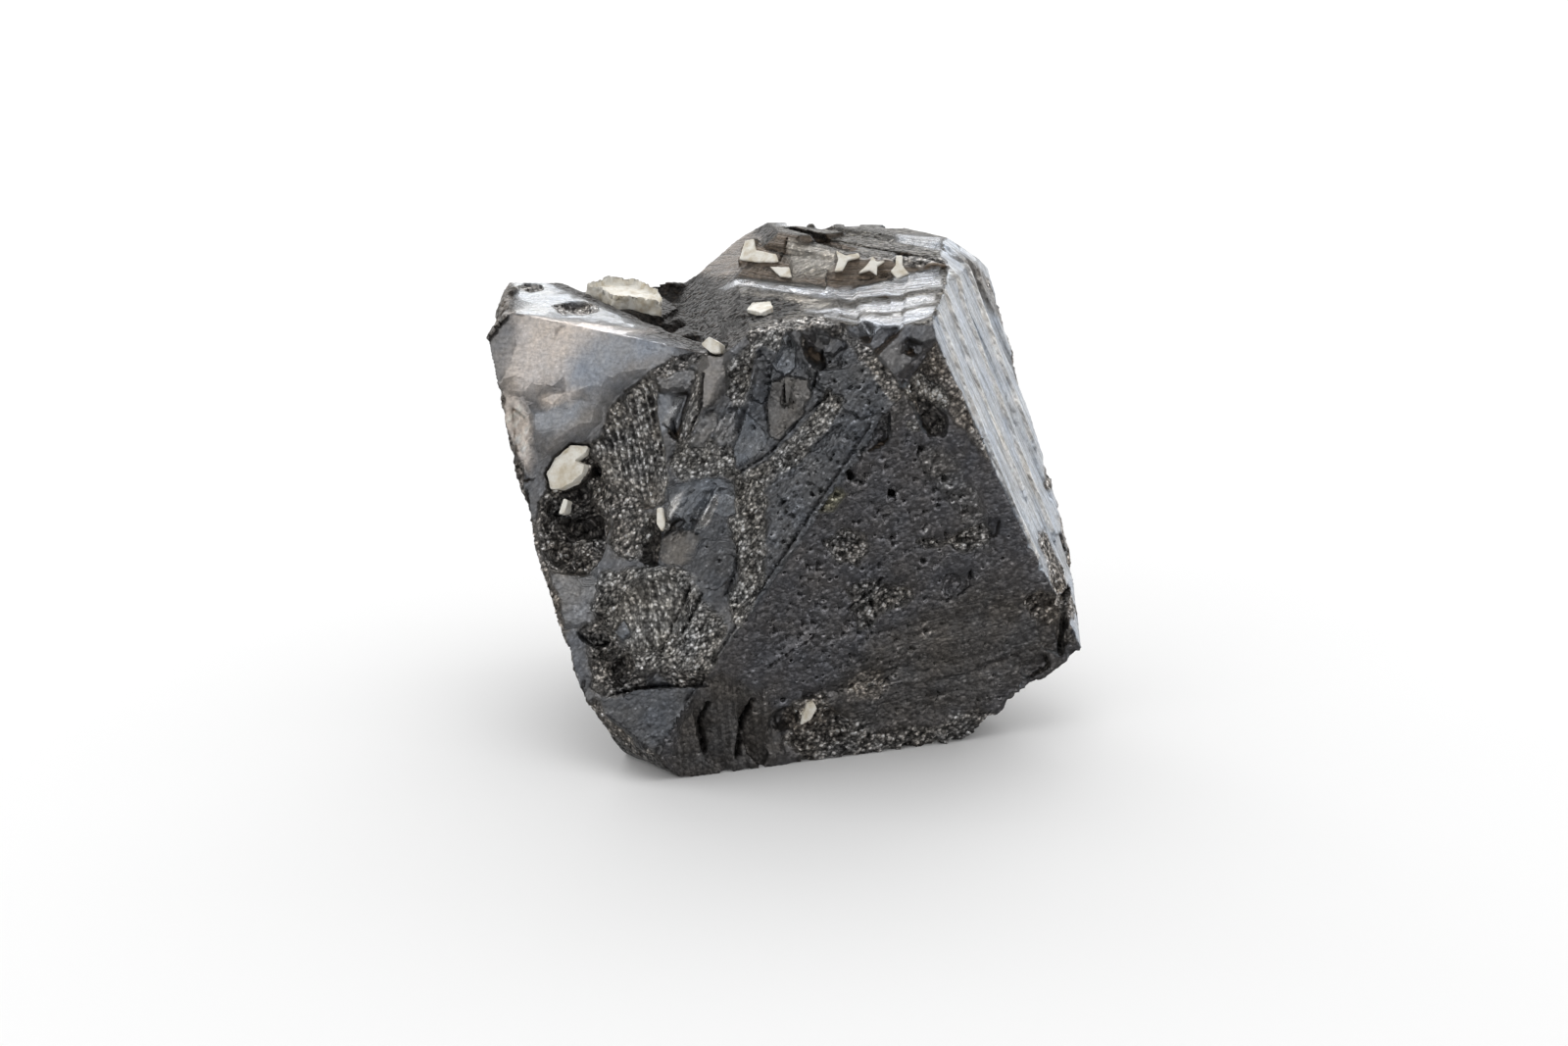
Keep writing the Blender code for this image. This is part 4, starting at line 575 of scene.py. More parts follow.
# Ledges: (face, rise, how far the rise runs out, [line]). The ground rises on the left of the line.
LEDGES = [
    (LEFT, 0.45, 1.2, [(-1.6, 28.2), (-1.0, 30.1), (-0.5, 31.4)]),
    (LEFT, 0.50, 1.0, [(0.2, 29.1), (1.0, 30.3), (1.6, 32.2)]),
    (LEFT, 0.50, 1.0, [(1.7, 28.2), (2.3, 30.3), (3.0, 32.4)]),
    (LEFT, 0.55, 1.0, [(2.8, 32.2), (3.2, 33.7), (3.5, 35.4), (3.6, 37.6)]),
    (LEFT, 0.55, 1.0, [(4.8, 36.5), (5.5, 38.1), (6.2, 39.9)]),
    (LEFT, 0.40, 0.8, [(4.0, 36.8), (4.7, 38.2), (5.2, 39.6)]),
    (LEFT, 0.40, 1.0, [(-2.4, 21.0), (-2.0, 22.4), (-1.2, 24.0)]),
    (LEFT, 0.45, 1.0, [(-0.9, 20.8), (-0.3, 22.6), (0.5, 24.2)]),
    (LEFT, 0.45, 1.0, [(0.3, 21.0), (1.1, 22.9), (1.8, 24.6)]),
    (LEFT, 0.30, 0.8, [(6.9, 19.1), (7.8, 21.0), (8.9, 23.7)]),
    (LEFT, 0.30, 0.8, [(8.4, 24.4), (9.4, 26.2), (10.0, 27.6)]),
    (LEFT, 0.35, 0.9, [(12.6, 29.4), (13.8, 31.6), (14.6, 32.6)]),
    (LEFT, 0.30, 0.8, [(13.0, 33.4), (14.2, 35.4), (15.6, 36.4)]),
    (LEFT, 0.35, 1.2, [(-2.3, -0.1), (0.4, -0.1), (1.8, 2.4), (3.2, 4.6)]),
    (RIGHT_FRONT, 0.30, 1.4, [(14.6, 6.4), (20.2, 7.1), (26.2, 6.6), (33.1, 6.2)]),
    (RIGHT_FRONT, 0.22, 1.2, [(18.6, 10.3), (26.0, 11.1), (34.0, 10.5)]),
    (RIGHT_FRONT, 0.30, 1.0, [(8.9, 10.2), (11.5, 11.7), (13.2, 12.6)]),
    (RIGHT_FRONT, 0.35, 1.0, [(17.2, 28.6), (17.9, 31.5), (19.2, 32.7), (20.1, 34.0)]),
    (RIGHT, 0.30, 1.2, [(4.0, 1.0), (3.6, -8.0), (5.2, -18.0), (7.6, -26.0)]),
    (RIGHT, 0.25, 1.0, [(9.6, 3.0), (9.0, -8.0), (10.6, -20.0)]),
    (RIGHT, 0.30, 1.4, [(16.0, 3.0), (14.6, -8.0), (14.8, -20.0), (15.6, -26.0)]),
    (RIGHT, 0.30, 1.4, [(21.4, 2.0), (20.6, -8.0), (20.8, -18.0)]),
]

# Cracks: (face, depth, half its width, [line]).
CRACKS = [
    (LEFT, 0.3, 0.16, [(3.0, 26.3), (4.6, 27.6), (6.0, 28.7), (6.9, 30.0), (8.6, 32.5), (11.0, 34.9)]),
    (LEFT, 0.5, 0.24, [(-5.6, 4.4), (-3.3, 5.4), (-0.7, 6.1), (2.0, 6.4), (4.2, 7.2)]),
    (LEFT, 0.25, 0.20, [(2.1, 4.8), (6.4, 13.6), (10.9, 22.8), (15.7, 32.6)]),
    (LEFT, 0.05, 0.09, [(-22.1, 38.1), (-21.4, 35.9), (-21.6, 34.1), (-22.6, 31.4)]),
    (LEFT, 0.05, 0.08, [(-19.6, 32.5), (-17.8, 32.5), (-15.5, 32.0)]),
    (LEFT, 0.05, 0.09, [(-7.8, 37.0), (-6.2, 36.9), (-4.7, 36.5)]),
    (LEFT, 0.4, 0.20, [(-4.4, 30.7), (-3.9, 29.2), (-2.8, 28.7), (-2.0, 29.8), (-1.4, 31.9), (-1.7, 35.2)]),
    (LEFT, 0.3, 0.18, [(4.4, 20.0), (4.9, 17.7), (4.2, 15.2)]),
    (LEFT, 0.4, 0.18, [(6.2, 35.8), (6.5, 34.6), (6.8, 33.3)]),
    (LEFT, 0.25, 0.16, [(5.0, 31.8), (4.6, 33.6), (4.8, 35.4), (4.4, 36.6)]),
    (LEFT, 0.25, 0.16, [(2.9, 32.4), (2.4, 30.6), (1.4, 28.6)]),
    (LEFT, 0.4, 0.25, [(0.5, 15.6), (-0.6, 12.2), (-1.4, 9.0)]),
    (LEFT, 0.4, 0.22, [(1.9, 15.0), (1.2, 12.8), (0.4, 11.2)]),
    (LEFT, 0.5, 0.30, [(-9.8, 9.6), (-8.2, 8.8), (-7.0, 9.4)]),
    (LEFT, 0.4, 0.22, [(9.2, 35.2), (9.8, 37.4), (9.0, 38.9)]),
    (RIGHT_FRONT, 0.5, 0.25, [(17.4, 29.6), (17.9, 31.5), (19.2, 32.7), (19.9, 33.8)]),
    (RIGHT_FRONT, 0.5, 0.25, [(16.7, 15.0), (18.8, 16.3), (19.9, 17.7)]),
    (RIGHT_FRONT, 0.5, 0.25, [(8.9, 10.2), (11.5, 11.7), (13.2, 12.6)]),
    (RIGHT_FRONT, 0.6, 0.40, [(3.0, 7.2), (2.4, 5.1), (3.0, 2.2)]),
    (RIGHT_FRONT, 0.7, 0.45, [(7.4, 6.8), (6.4, 4.1), (6.0, 1.4)]),
    (RIGHT_FRONT, 0.35, 0.20, [(27.6, 15.0), (28.8, 15.8), (28.8, 17.4)]),
    (RIGHT, 0.12, 0.14, [(18.7, -12.0), (17.7, -13.1), (17.9, -14.9)]),
    (SHELF, 0.3, 0.20, [(-8.2, -0.6), (-3.3, 1.5), (1.7, 3.1), (8.1, 5.6)]),
    (RISER_LEFT, 0.2, 0.14, [(-11.1, 3.6), (-10.4, 2.2), (-10.0, 1.0)]),
]

# Large three-sided pits: (face, across, up, reach).
LARGE_PITS = [
    (RIGHT_FRONT, 20.6, 26.0, 0.75), (RIGHT_FRONT, 25.8, 26.9, 0.65), (RIGHT_FRONT, 23.4, 30.0, 0.7),
    (RIGHT_FRONT, 16.6, 28.2, 0.7), (RIGHT_FRONT, 20.8, 21.6, 0.5), (RIGHT_FRONT, 27.9, 23.4, 0.55),
    (RIGHT_FRONT, 26.2, 5.0, 0.55), (RIGHT_FRONT, 15.2, 26.4, 0.6), (RIGHT_FRONT, 13.6, 19.2, 0.5),
    (RIGHT_FRONT, 11.8, 17.0, 0.5), (RIGHT_FRONT, 19.4, 24.4, 0.5), (RIGHT_FRONT, 24.2, 33.0, 0.5),
    (LEFT, 9.6, 27.6, 0.4), (LEFT, 8.2, 30.0, 0.35), (LEFT, 4.6, 35.3, 0.4), (LEFT, 5.2, 29.0, 0.4),
    (LEFT, 3.8, 28.0, 0.35), (LEFT, 1.2, 34.8, 0.35), (LEFT, 11.2, 25.4, 0.4), (LEFT, 11.0, 28.6, 0.35),
]

# Fields of scattered pits: (face, how many are tried, least reach, most reach, [outline]).
PIT_FIELDS = [
    (RIGHT_FRONT, 380, 0.20, 0.60,
     [(8.0, 16.0), (12.0, 26.0), (16.0, 33.0), (21.0, 33.6), (24.0, 30.0), (31.0, 21.0), (33.0, 17.0),
      (22.0, 9.0), (12.0, 9.0)]),
    (RIGHT_FRONT, 150, 0.20, 0.45,
     [(3.0, 10.0), (8.0, 17.0), (20.0, 10.0), (34.0, 12.0), (34.0, 4.0), (14.0, 2.0), (9.0, 6.0)]),
    (LEFT, 140, 0.20, 0.45,
     [(7.0, 16.0), (7.4, 26.0), (11.0, 32.0), (9.0, 36.0), (11.0, 40.0), (17.0, 36.0), (13.6, 26.0),
      (9.0, 16.4)]),
    (LEFT, 60, 0.18, 0.36, [(1.0, 16.0), (1.0, 36.0), (7.0, 38.0), (8.0, 32.0), (3.0, 26.0), (3.4, 16.0)]),
]

# Rows of small pits along a line: (face, spacing, reach, [line]).
PIT_ROWS = [
    (RIGHT_FRONT, 0.55, 0.22, [(13.2, 12.8), (15.6, 15.6), (18.4, 18.4), (21.6, 20.6)]),
    (RIGHT_FRONT, 0.6, 0.22, [(21.0, 14.2), (24.0, 17.4), (27.6, 20.4)]),
    (RIGHT_FRONT, 0.6, 0.20, [(20.8, 29.4), (24.6, 27.8), (26.8, 24.4), (28.2, 21.4)]),
    (RIGHT_FRONT, 0.7, 0.20, [(12.4, 21.2), (14.8, 25.2), (17.4, 29.2)]),
    (RIGHT_FRONT, 0.6, 0.20, [(15.6, 8.4), (19.0, 12.2), (20.6, 14.4)]),
]

# Grains: the face each is set in, the level that its seat is filled to, how far its top is worn down, and
# how rough that top is.
GRAINS = {
    "calcite_platform_patch": (PLATFORM, -0.7, 0.75, 0.22),
    "calcite_notch_grain": (LEFT, -1.7, 0.15, 0.08),
    "calcite_tread_grain": (TREAD, -0.05, 0.15, 0.08),
    "calcite_riser_patch": (RISER_LEFT, -0.02, 0.02, 0.04),
    "calcite_riser_chip": (RISER_LEFT, -0.02, 0.02, 0.04),
    "calcite_twin_left": (RISER_RIGHT, -0.02, 0.02, 0.03),
    "calcite_twin_middle": (RISER_RIGHT, -0.02, 0.02, 0.03),
    "calcite_twin_right": (RISER_RIGHT, -0.02, 0.02, 0.03),
    "calcite_hollow_patch": (LEFT, -1.0, 0.30, 0.15),
    "calcite_cavity_sliver": (LEFT, -1.2, 0.05, 0.05),
    "calcite_step_sliver": (LEFT, -0.3, 0.05, 0.05),
    "calcite_foot_grain": (RIGHT_FRONT, -0.1, 0.05, 0.05),
}

# Fillings of the solid's deepest cuts: (face, top, bottom, [outline]), both measured out from the face.
FILLINGS = [
    (LEFT, -0.45, -2.6,
     [(2.6, 26.0), (4.9, 26.7), (7.7, 29.0), (11.6, 34.2), (11.2, 35.2), (6.6, 30.7), (4.1, 28.2)]),
    (LEFT, -0.35, -1.6, [(6.2, 36.0), (6.3, 33.4), (7.1, 33.2), (7.2, 35.9)]),
    (LEFT, -0.55, -2.6, [(-5.4, 21.6), (-5.4, 16.4), (-2.9, 16.8), (-3.1, 21.6)]),
    (RIGHT_FRONT, -0.45, -2.6, [(14.0, 22.2), (14.4, 19.8), (17.2, 19.2), (19.0, 20.6), (17.0, 23.6)]),
    (RIGHT_FRONT, -0.45, -2.6, [(23.0, 19.8), (31.8, 19.8), (32.4, 22.8), (29.6, 23.2), (23.0, 21.8)]),
    (RIGHT_FRONT, -0.40, -2.6, [(14.8, 13.6), (17.6, 12.0), (23.4, 17.4), (22.4, 18.4), (17.4, 16.2)]),
    (PLATFORM, -0.60, -2.6, [(0.8, -5.6), (3.4, -7.8), (6.8, -6.2), (6.8, -3.8), (3.4, -3.0)]),
    (PLATFORM, -0.40, -2.0, [(7.8, -0.2), (9.4, -1.7), (11.2, -0.4), (9.6, 1.2)]),
    (PLATFORM, -0.70, -4.0,
     [(10.4, -4.6), (12.6, -5.0), (13.2, -13.0), (9.4, -14.6), (6.6, -13.6), (8.0, -9.4)]),
    (PLATFORM, -1.20, -4.0,
     [(9.6, -4.0), (12.6, -4.6), (13.2, -13.6), (9.0, -15.6), (4.8, -14.6), (6.6, -9.4)]),
    (RIGHT, -0.15, -3.0, [(11.6, -30.6), (14.4, -25.4), (19.0, -26.8), (17.6, -31.4)]),
    (RISER_RIGHT, -0.05, -2.5, [(-2.6, 2.9), (0.6, 3.1), (1.2, -1.0), (-1.8, -1.2)]),
    (RIGHT_FRONT, -0.60, -3.0, [(34.6, 5.8), (38.2, 6.4), (38.4, 12.4), (36.0, 12.8), (34.0, 8.4)]),
]


# ---------------------------------------------------------------- working the skin

# A vertex belongs to a face when it looks the face's way, by at least this cosine, and lies between these
# levels beside its plane.
LEAST_FACING = 0.25
DEEPEST, HIGHEST = -4.0, 1.2
# The three large faces meet in ridges, and none of them takes the vertices of its neighbours.
LARGE_FACES = (LEFT, RIGHT_FRONT, RIGHT)
# A whole face's finish takes a stricter cosine, less this much for each millimetre off the face's plane.
LEAST_AGREEMENT = 0.66
OFF_PLANE = 0.03

# The kinds of relief that end raggedly, and that get painted shade in their hollows and painted light on
# their tops, by this much.
LOOSE = ("crumbs", "slabs", "grooves")
HOLLOW_SHADE = 0.55
# The size of the raggedness of every rim, and that of the loose kinds' own.
RAGGED_SIZE = 0.9
LOOSE_RAGGED_SIZE = 2.4

SEAT_GAP = 0.4
GRAIN_SPACING = 0.1

# A pit's three walls face these ways, in radians, and its depth and width go with its reach.
PIT_WALLS = (0.9, 3.0, 5.1)
PIT_DEPTH, PIT_WIDTH = 0.9, 0.62
PIT_ROUGHNESS = 0.22


class Skin:
    """The block's surface while it is worked: where it was, how far it moves, and its finish."""

    def __init__(self, mesh):
        count = len(mesh.vertices)
        self.mesh = mesh
        self.points, self.normals = points_and_normals(mesh)
        self.lift = np.zeros(count)
        self.way = self.normals.copy()
        self.tint = np.tile(linear(FINISHES["broken"][0]), (count, 1))
        self.finish = np.tile(FINISHES["broken"][1:], (count, 1)).astype(float)
        self.lay = self.points.copy()

    def paint(self, chosen, weight, name, face, heading):
        """Blends a finish in, and lays its grain along the heading where it covers more than half."""
        colour, *rest = FINISHES[name]
        share = weight[:, None]
        self.tint[chosen] += share * (np.array(linear(colour)) - self.tint[chosen])
        self.finish[chosen] += share * (np.array(rest) - self.finish[chosen])
        spots, out = face.local(self.points[chosen])
        turn = math.radians(heading)
        along = spots @ (math.cos(turn), math.sin(turn))
        across = spots @ (-math.sin(turn), math.cos(turn))
        covered = weight > 0.5
        self.lay[chosen[covered]] = np.stack((across, along, out), -1)[covered]
        return across, along

    def facing(self, face):
        """The vertices that look the face's way, near its plane, and their spots on it."""
        spots, out = face.local(self.points)
        held = (self.normals @ face.normal > LEAST_FACING) & (out > DEEPEST) & (out < HIGHEST)
        for other in LARGE_FACES:
            away = np.abs(other.local(self.points)[1])
            held &= (self.normals @ other.normal < LEAST_FACING) | (np.abs(out) < away + 0.1)
        chosen = np.flatnonzero(held)
        return chosen, spots[chosen]


def points_and_normals(mesh):
    """The vertices of a mesh in millimetres from the layout's origin, and their normals."""
    flat = np.empty(len(mesh.vertices) * 3, np.float32)
    mesh.vertices.foreach_get("co", flat)
    points = flat.reshape(-1, 3) / MM - LAYOUT_ORIGIN
    mesh.vertices.foreach_get("normal", flat)
    return points, flat.reshape(-1, 3).astype(float)


def lay_face_finishes(skin):
    """Gives each vertex the finish of the face that it agrees with best, and moves it that face's way."""
    best = np.full(len(skin.points), LEAST_AGREEMENT)
    for salt, (face, name, heading, height, size) in enumerate(FACE_FINISHES):
        _, out = face.local(skin.points)
        agree = skin.normals @ face.normal - OFF_PLANE * np.abs(np.clip(out, -20, 20))
        chosen = np.flatnonzero(agree > best)
        best[chosen] = agree[chosen]
        skin.paint(chosen, np.ones(len(chosen)), name, face, heading)
        skin.lift[chosen] = height * waves(skin.points[chosen], size, 60 + salt, 3)
        skin.way[chosen] = face.normal


def lay_patches(skin, patches, banded):
    """Works in patches inside outlines, or bands along lines, with the relief and finish of each."""
    for number, (face, name, kind, heading, pitch, height, sunk, rim, outline) in enumerate(patches):
        salt = number + (100 if banded else 0)
        chosen, spots = skin.facing(face)
        if banded:
            reach, soft = rim - beside(spots, outline)[0], 0.5 * rim
        else:
            reach, soft = inside_by(spots, outline), rim
        near = reach > -soft - 1
        chosen, reach = chosen[near], reach[near]
        ragged = 0.5 * min(soft, 0.8) * waves(skin.points[chosen], RAGGED_SIZE, 40 + salt, 2)
        if kind in LOOSE:
            ragged = ragged + 0.9 * waves(skin.points[chosen], LOOSE_RAGGED_SIZE, 90 + salt, 3)
        weight = smooth(-soft / 2, soft / 2, reach + ragged)
        across, along = skin.paint(chosen, weight, name, face, heading)
        shape = relief_shape(kind, skin.points[chosen], across, along, pitch, salt)
        skin.lift[chosen] += weight * (height * shape - sunk - 0.8 * skin.lift[chosen])
        # painted shade in the relief's hollows and painted light on its tops, laid into its colour
        if kind in LOOSE:
            skin.tint[chosen] *= np.exp(weight * HOLLOW_SHADE * shape)[:, None]


def lay_ledges(skin):
    """Raises the ground on one side of each ledge, and lays a painted highlight along its edge."""
    for face, rise, reach, line in LEDGES:
        chosen, spots = skin.facing(face)
        distance, side = beside(spots, line)
        near = distance < reach
        chosen, distance, side = chosen[near], distance[near], side[near]
        end = np.minimum(
            np.linalg.norm(spots[near] - line[0], axis=1), np.linalg.norm(spots[near] - line[-1], axis=1)
        )
        fade = smooth(0, 0.6, end)
        step = smooth(-0.12, 0.12, distance * side) * (1 - smooth(0.2, reach, distance))
        skin.lift[chosen] += rise * fade * step
        # a painted highlight along the ledge's edge
        edge = fade * (1 - smooth(0.05, 0.30, np.abs(distance - 0.1)))
        skin.tint[chosen] *= (1 + 0.9 * edge)[:, None]


def lay_cracks(skin):
    """Cuts each crack, a little wandering in its width, and darkens it with painted shade."""
    for salt, (face, depth, half_width, line) in enumerate(CRACKS):
        chosen, spots = skin.facing(face)
        distance, _ = beside(spots, line)
        near = distance < 3 * half_width
        chosen, distance = chosen[near], distance[near]
        distance = distance + 0.5 * half_width * waves(skin.points[chosen], 0.7, 80 + salt, 2)
        cut = 1 - smooth(0, half_width, distance)
        skin.lift[chosen] -= depth * cut
        # painted shade, darker in deeper cracks
        skin.tint[chosen] *= (1 - min(0.8, 0.35 + depth) * cut)[:, None]


def pits():
    """Every etched pit: (face, across, up, reach, turn)."""
    found = [(*pit, 0.0) for pit in LARGE_PITS]
    # each pit's spot, reach and turn are scattered by a number of its own, so every run draws the same pits
    seed = 0
    for face, count, least, most, outline in PIT_FIELDS:
        corners = np.array(outline)
        low, high = corners.min(axis=0), corners.max(axis=0)
        draws = np.stack([np.arange(seed, seed + 3 * count)] * 3, -1)
        seed += 3 * count
        spots = low + (high - low) * np.stack((scatter(draws, 1), scatter(draws, 2)), -1)
        kept = np.flatnonzero(inside_by(spots, outline) > 0)[:count]
        sizes = least + (most - least) * scatter(draws, 3)[kept] ** 3
        turns = 0.5 * scatter(draws, 4)[kept]
        found += [(face, *spots[index], size, turn) for index, size, turn in zip(kept, sizes, turns)]
    for face, spacing, reach, line in PIT_ROWS:
        for start, end in zip(line[:-1], line[1:]):
            start, end = np.array(start), np.array(end)
            steps = max(1, int(np.linalg.norm(end - start) / spacing))
            for step in range(steps):
                seed += 1
                draw = np.array([[seed, 5, 9]])
                wander = 0.3 * (scatter(draw, 6)[0] - 0.5)
                spot = start + (end - start) * step / steps + wander
                found.append((face, *spot, reach * (0.7 + 0.6 * scatter(draw, 7)[0]), wander))
    return found


def lay_pits(skin):
    """Sinks three-sided pits with smooth walls, with painted shade inside and a painted highlight on the
    lower lip.
    """
    on_face = {}
    for face, across, up, reach, turn in pits():
        on_face.setdefault(id(face), (face, []))[1].append((across, up, reach, turn))
    for face, holes in on_face.values():
        chosen, spots = skin.facing(face)
        for across, up, reach, turn in holes:
            away = spots - (across, up)
            near = np.flatnonzero(np.abs(away).max(axis=1) < 2 * reach)
            walls = [away[near] @ (math.cos(turn + wall), math.sin(turn + wall)) for wall in PIT_WALLS]
            deep = np.clip(1 - np.max(walls, axis=0) / (PIT_WIDTH * reach), 0, 1)
            inner = chosen[near]
            skin.lift[inner] -= PIT_DEPTH * reach * deep
            # painted shade inside the pit
            skin.tint[inner] *= (1 - 0.6 * smooth(0.3, 0.9, deep))[:, None]
            # a painted highlight on the pit's lower lip
            edge = smooth(0.0, 0.12, deep) * (1 - smooth(0.12, 0.35, deep)) * (away[near][:, 1] < 0)
            skin.tint[inner] *= (1 + 1.2 * edge)[:, None]
            skin.finish[inner, 0] += smooth(0, 0.2, deep) * (PIT_ROUGHNESS - skin.finish[inner, 0])


def welded(source):
    """A solid's triangles, joined along their edges."""
    joined = bmesh.new()
    joined.from_mesh(source.data)
    bmesh.ops.remove_doubles(joined, verts=joined.verts[:], dist=0.001 * MM)
    return joined


def plug(name, face, level):
    """A grain's body, a little wider, up to a level beside the face: it fills the gap round its seat."""
    body = welded(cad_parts[name])
    body.normal_update()
    out = Vector(face.normal)
    base = Vector((LAYOUT_ORIGIN + face.point) * MM)
    moves = []
    for vert in body.verts:
        sideways = vert.normal - out * vert.normal.dot(out)
        if sideways.length > 0.01:
            sideways.normalize()
        above = (vert.co - base).dot(out) - level * MM
        moves.append(sideways * SEAT_GAP * MM - out * max(0.0, above))
    for vert, move in zip(body.verts, moves):
        vert.co += move
    return body


def filling(face, top, bottom, outline):
    """A prism between two levels beside the face."""
    body = bmesh.new()
    ends = []
    for level in (bottom, top):
        spots = [face.point + face.across * x + face.up * y + face.normal * level for x, y in outline]
        ends.append([body.verts.new(Vector((spot + LAYOUT_ORIGIN) * MM)) for spot in spots])
    low, high = ends
    body.faces.new(low)
    body.faces.new(high[::-1])
    for index in range(len(outline)):
        body.faces.new((low[index - 1], low[index], high[index], high[index - 1]))
    bmesh.ops.triangulate(body, faces=body.faces[:], ngon_method="EAR_CLIP")
    bmesh.ops.recalc_face_normals(body, faces=body.faces[:])
    return body


def remeshed(solid, voxel, fillings=()):
    """The solid, its fillings joined to it, as an even skin of small faces."""
    mesh = bpy.data.meshes.new("work")
    for part in fillings:
        extra = bpy.data.meshes.new("part")
        part.to_mesh(extra)
        part.free()
        solid.from_mesh(extra)
        bpy.data.meshes.remove(extra)
    solid.to_mesh(mesh)
    solid.free()
    piece = bpy.data.objects.new("work", mesh)
    bpy.context.scene.collection.objects.link(piece)
    remesh = piece.modifiers.new("even", "REMESH")
    remesh.mode = "VOXEL"
    remesh.voxel_size = voxel * MM
    return applied(piece)


def thinned(mesh, most):
    """The mesh with its flat parts in larger triangles, under the given number of them."""
    mesh.calc_loop_triangles()
    share = most / len(mesh.loop_triangles)
    if share >= 1:
        return mesh
    piece = bpy.data.objects.new("work", mesh)
    bpy.context.scene.collection.objects.link(piece)
    piece.modifiers.new("thin", "DECIMATE").ratio = share
    return applied(piece)


def applied(piece):
    """The mesh that an object's modifiers make; the object is then removed."""
    bpy.context.view_layer.update()
    graph = bpy.context.evaluated_depsgraph_get()
    made = bpy.data.meshes.new_from_object(piece.evaluated_get(graph))
    bpy.data.objects.remove(piece)
    return made


def write_skin(skin):
    """Moves the mesh's vertices, none below the floor, and stores what the material reads."""
    mesh = skin.mesh
    moved = skin.points + skin.way * skin.lift[:, None] + LAYOUT_ORIGIN
    moved[:, 2] = np.maximum(moved[:, 2], 0)
    mesh.vertices.foreach_set("co", (moved * MM).astype(np.float32).ravel())
    # the tint carries the finishes' colours together with the painted shade and painted highlights of relief,
    # ledges, cracks and pits
    tint = mesh.attributes.new("tint", "FLOAT_COLOR", "POINT")
    bright = np.clip(skin.tint, 0, 0.9)
    tint.data.foreach_set("color", np.column_stack((bright, np.ones(len(moved)))).ravel())
    finish = mesh.attributes.new("finish", "FLOAT_COLOR", "POINT")
    finish.data.foreach_set("color", skin.finish.ravel())
    lay = mesh.attributes.new("lay", "FLOAT_VECTOR", "POINT")
    lay.data.foreach_set("vector", skin.lay.ravel())
    mesh.update()


def worn_grain(name, face, worn, rough):
    """A grain's mesh, its rim a little ragged and its top worn down and roughened."""
    mesh = remeshed(welded(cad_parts[name]), GRAIN_SPACING)
    points, normals = points_and_normals(mesh)
    level = normals @ face.normal
    sideways = normals - level[:, None] * face.normal
    rim = 0.3 * rough + (0.04 + rough) * waves(points, 0.9, 3, 3)
    top = smooth(0.4, 0.9, level) * (rough * waves(points, 0.8, 9, 2) - worn)
    moved = points + sideways * rim[:, None] + face.normal * top[:, None] + LAYOUT_ORIGIN
    mesh.vertices.foreach_set("co", (moved * MM).astype(np.float32).ravel())
    mesh.update()
    return thinned(mesh, GRAIN_TRIANGLES)


# ---------------------------------------------------------------- materials

# Settings that several nodes share.
ADD = {"operation": "ADD"}
SUBTRACT = {"operation": "SUBTRACT"}
MULTIPLY = {"operation": "MULTIPLY"}
MULTIPLY_ADD = {"operation": "MULTIPLY_ADD"}
SMOOTH_STEP = {"interpolation_type": "SMOOTHSTEP"}

# Crushed grains, coarse and fine: cell width in mm, slope of a facet, darkest and brightest facet, and how
# rare the bright ones are; the rare bright facets are painted glints.
# The real ones go down to dust, and these are as coarse as they need to show.
CRUSHED_GRAINS = ((0.46, 1.0, 0.6, 1.5, 1.0), (0.27, 1.7, 0.5, 3.6, 3.0))

# Etched pits, coarse and fine: cell width in mm, share of the cells without a pit, and the reach of the
# widest pit in cells.
ETCHED_PITS = ((1.3, 0.68, 0.34), (0.6, 0.80, 0.40))


def new_material(name):
    """An empty material and its node tree."""
    made = bpy.data.materials.new(name)
    made.use_nodes = True
    tree = made.node_tree
    tree.nodes.clear()
    return made, tree


def add(tree, kind, settings=None, **inputs):
    """A node with its settings, and its inputs by name, or by number as in i0, as values or links."""
    node = tree.nodes.new("ShaderNode" + kind)
    for key, value in (settings or {}).items():
        setattr(node, key, value)
    for key, value in inputs.items():
        numbered = key[0] == "i" and key[1:].isdigit()
        socket = node.inputs[int(key[1:])] if numbered else node.inputs[key.replace("_", " ")]
        if isinstance(value, bpy.types.NodeSocket):
            tree.links.new(value, socket)
        else:
            socket.default_value = value
    return node


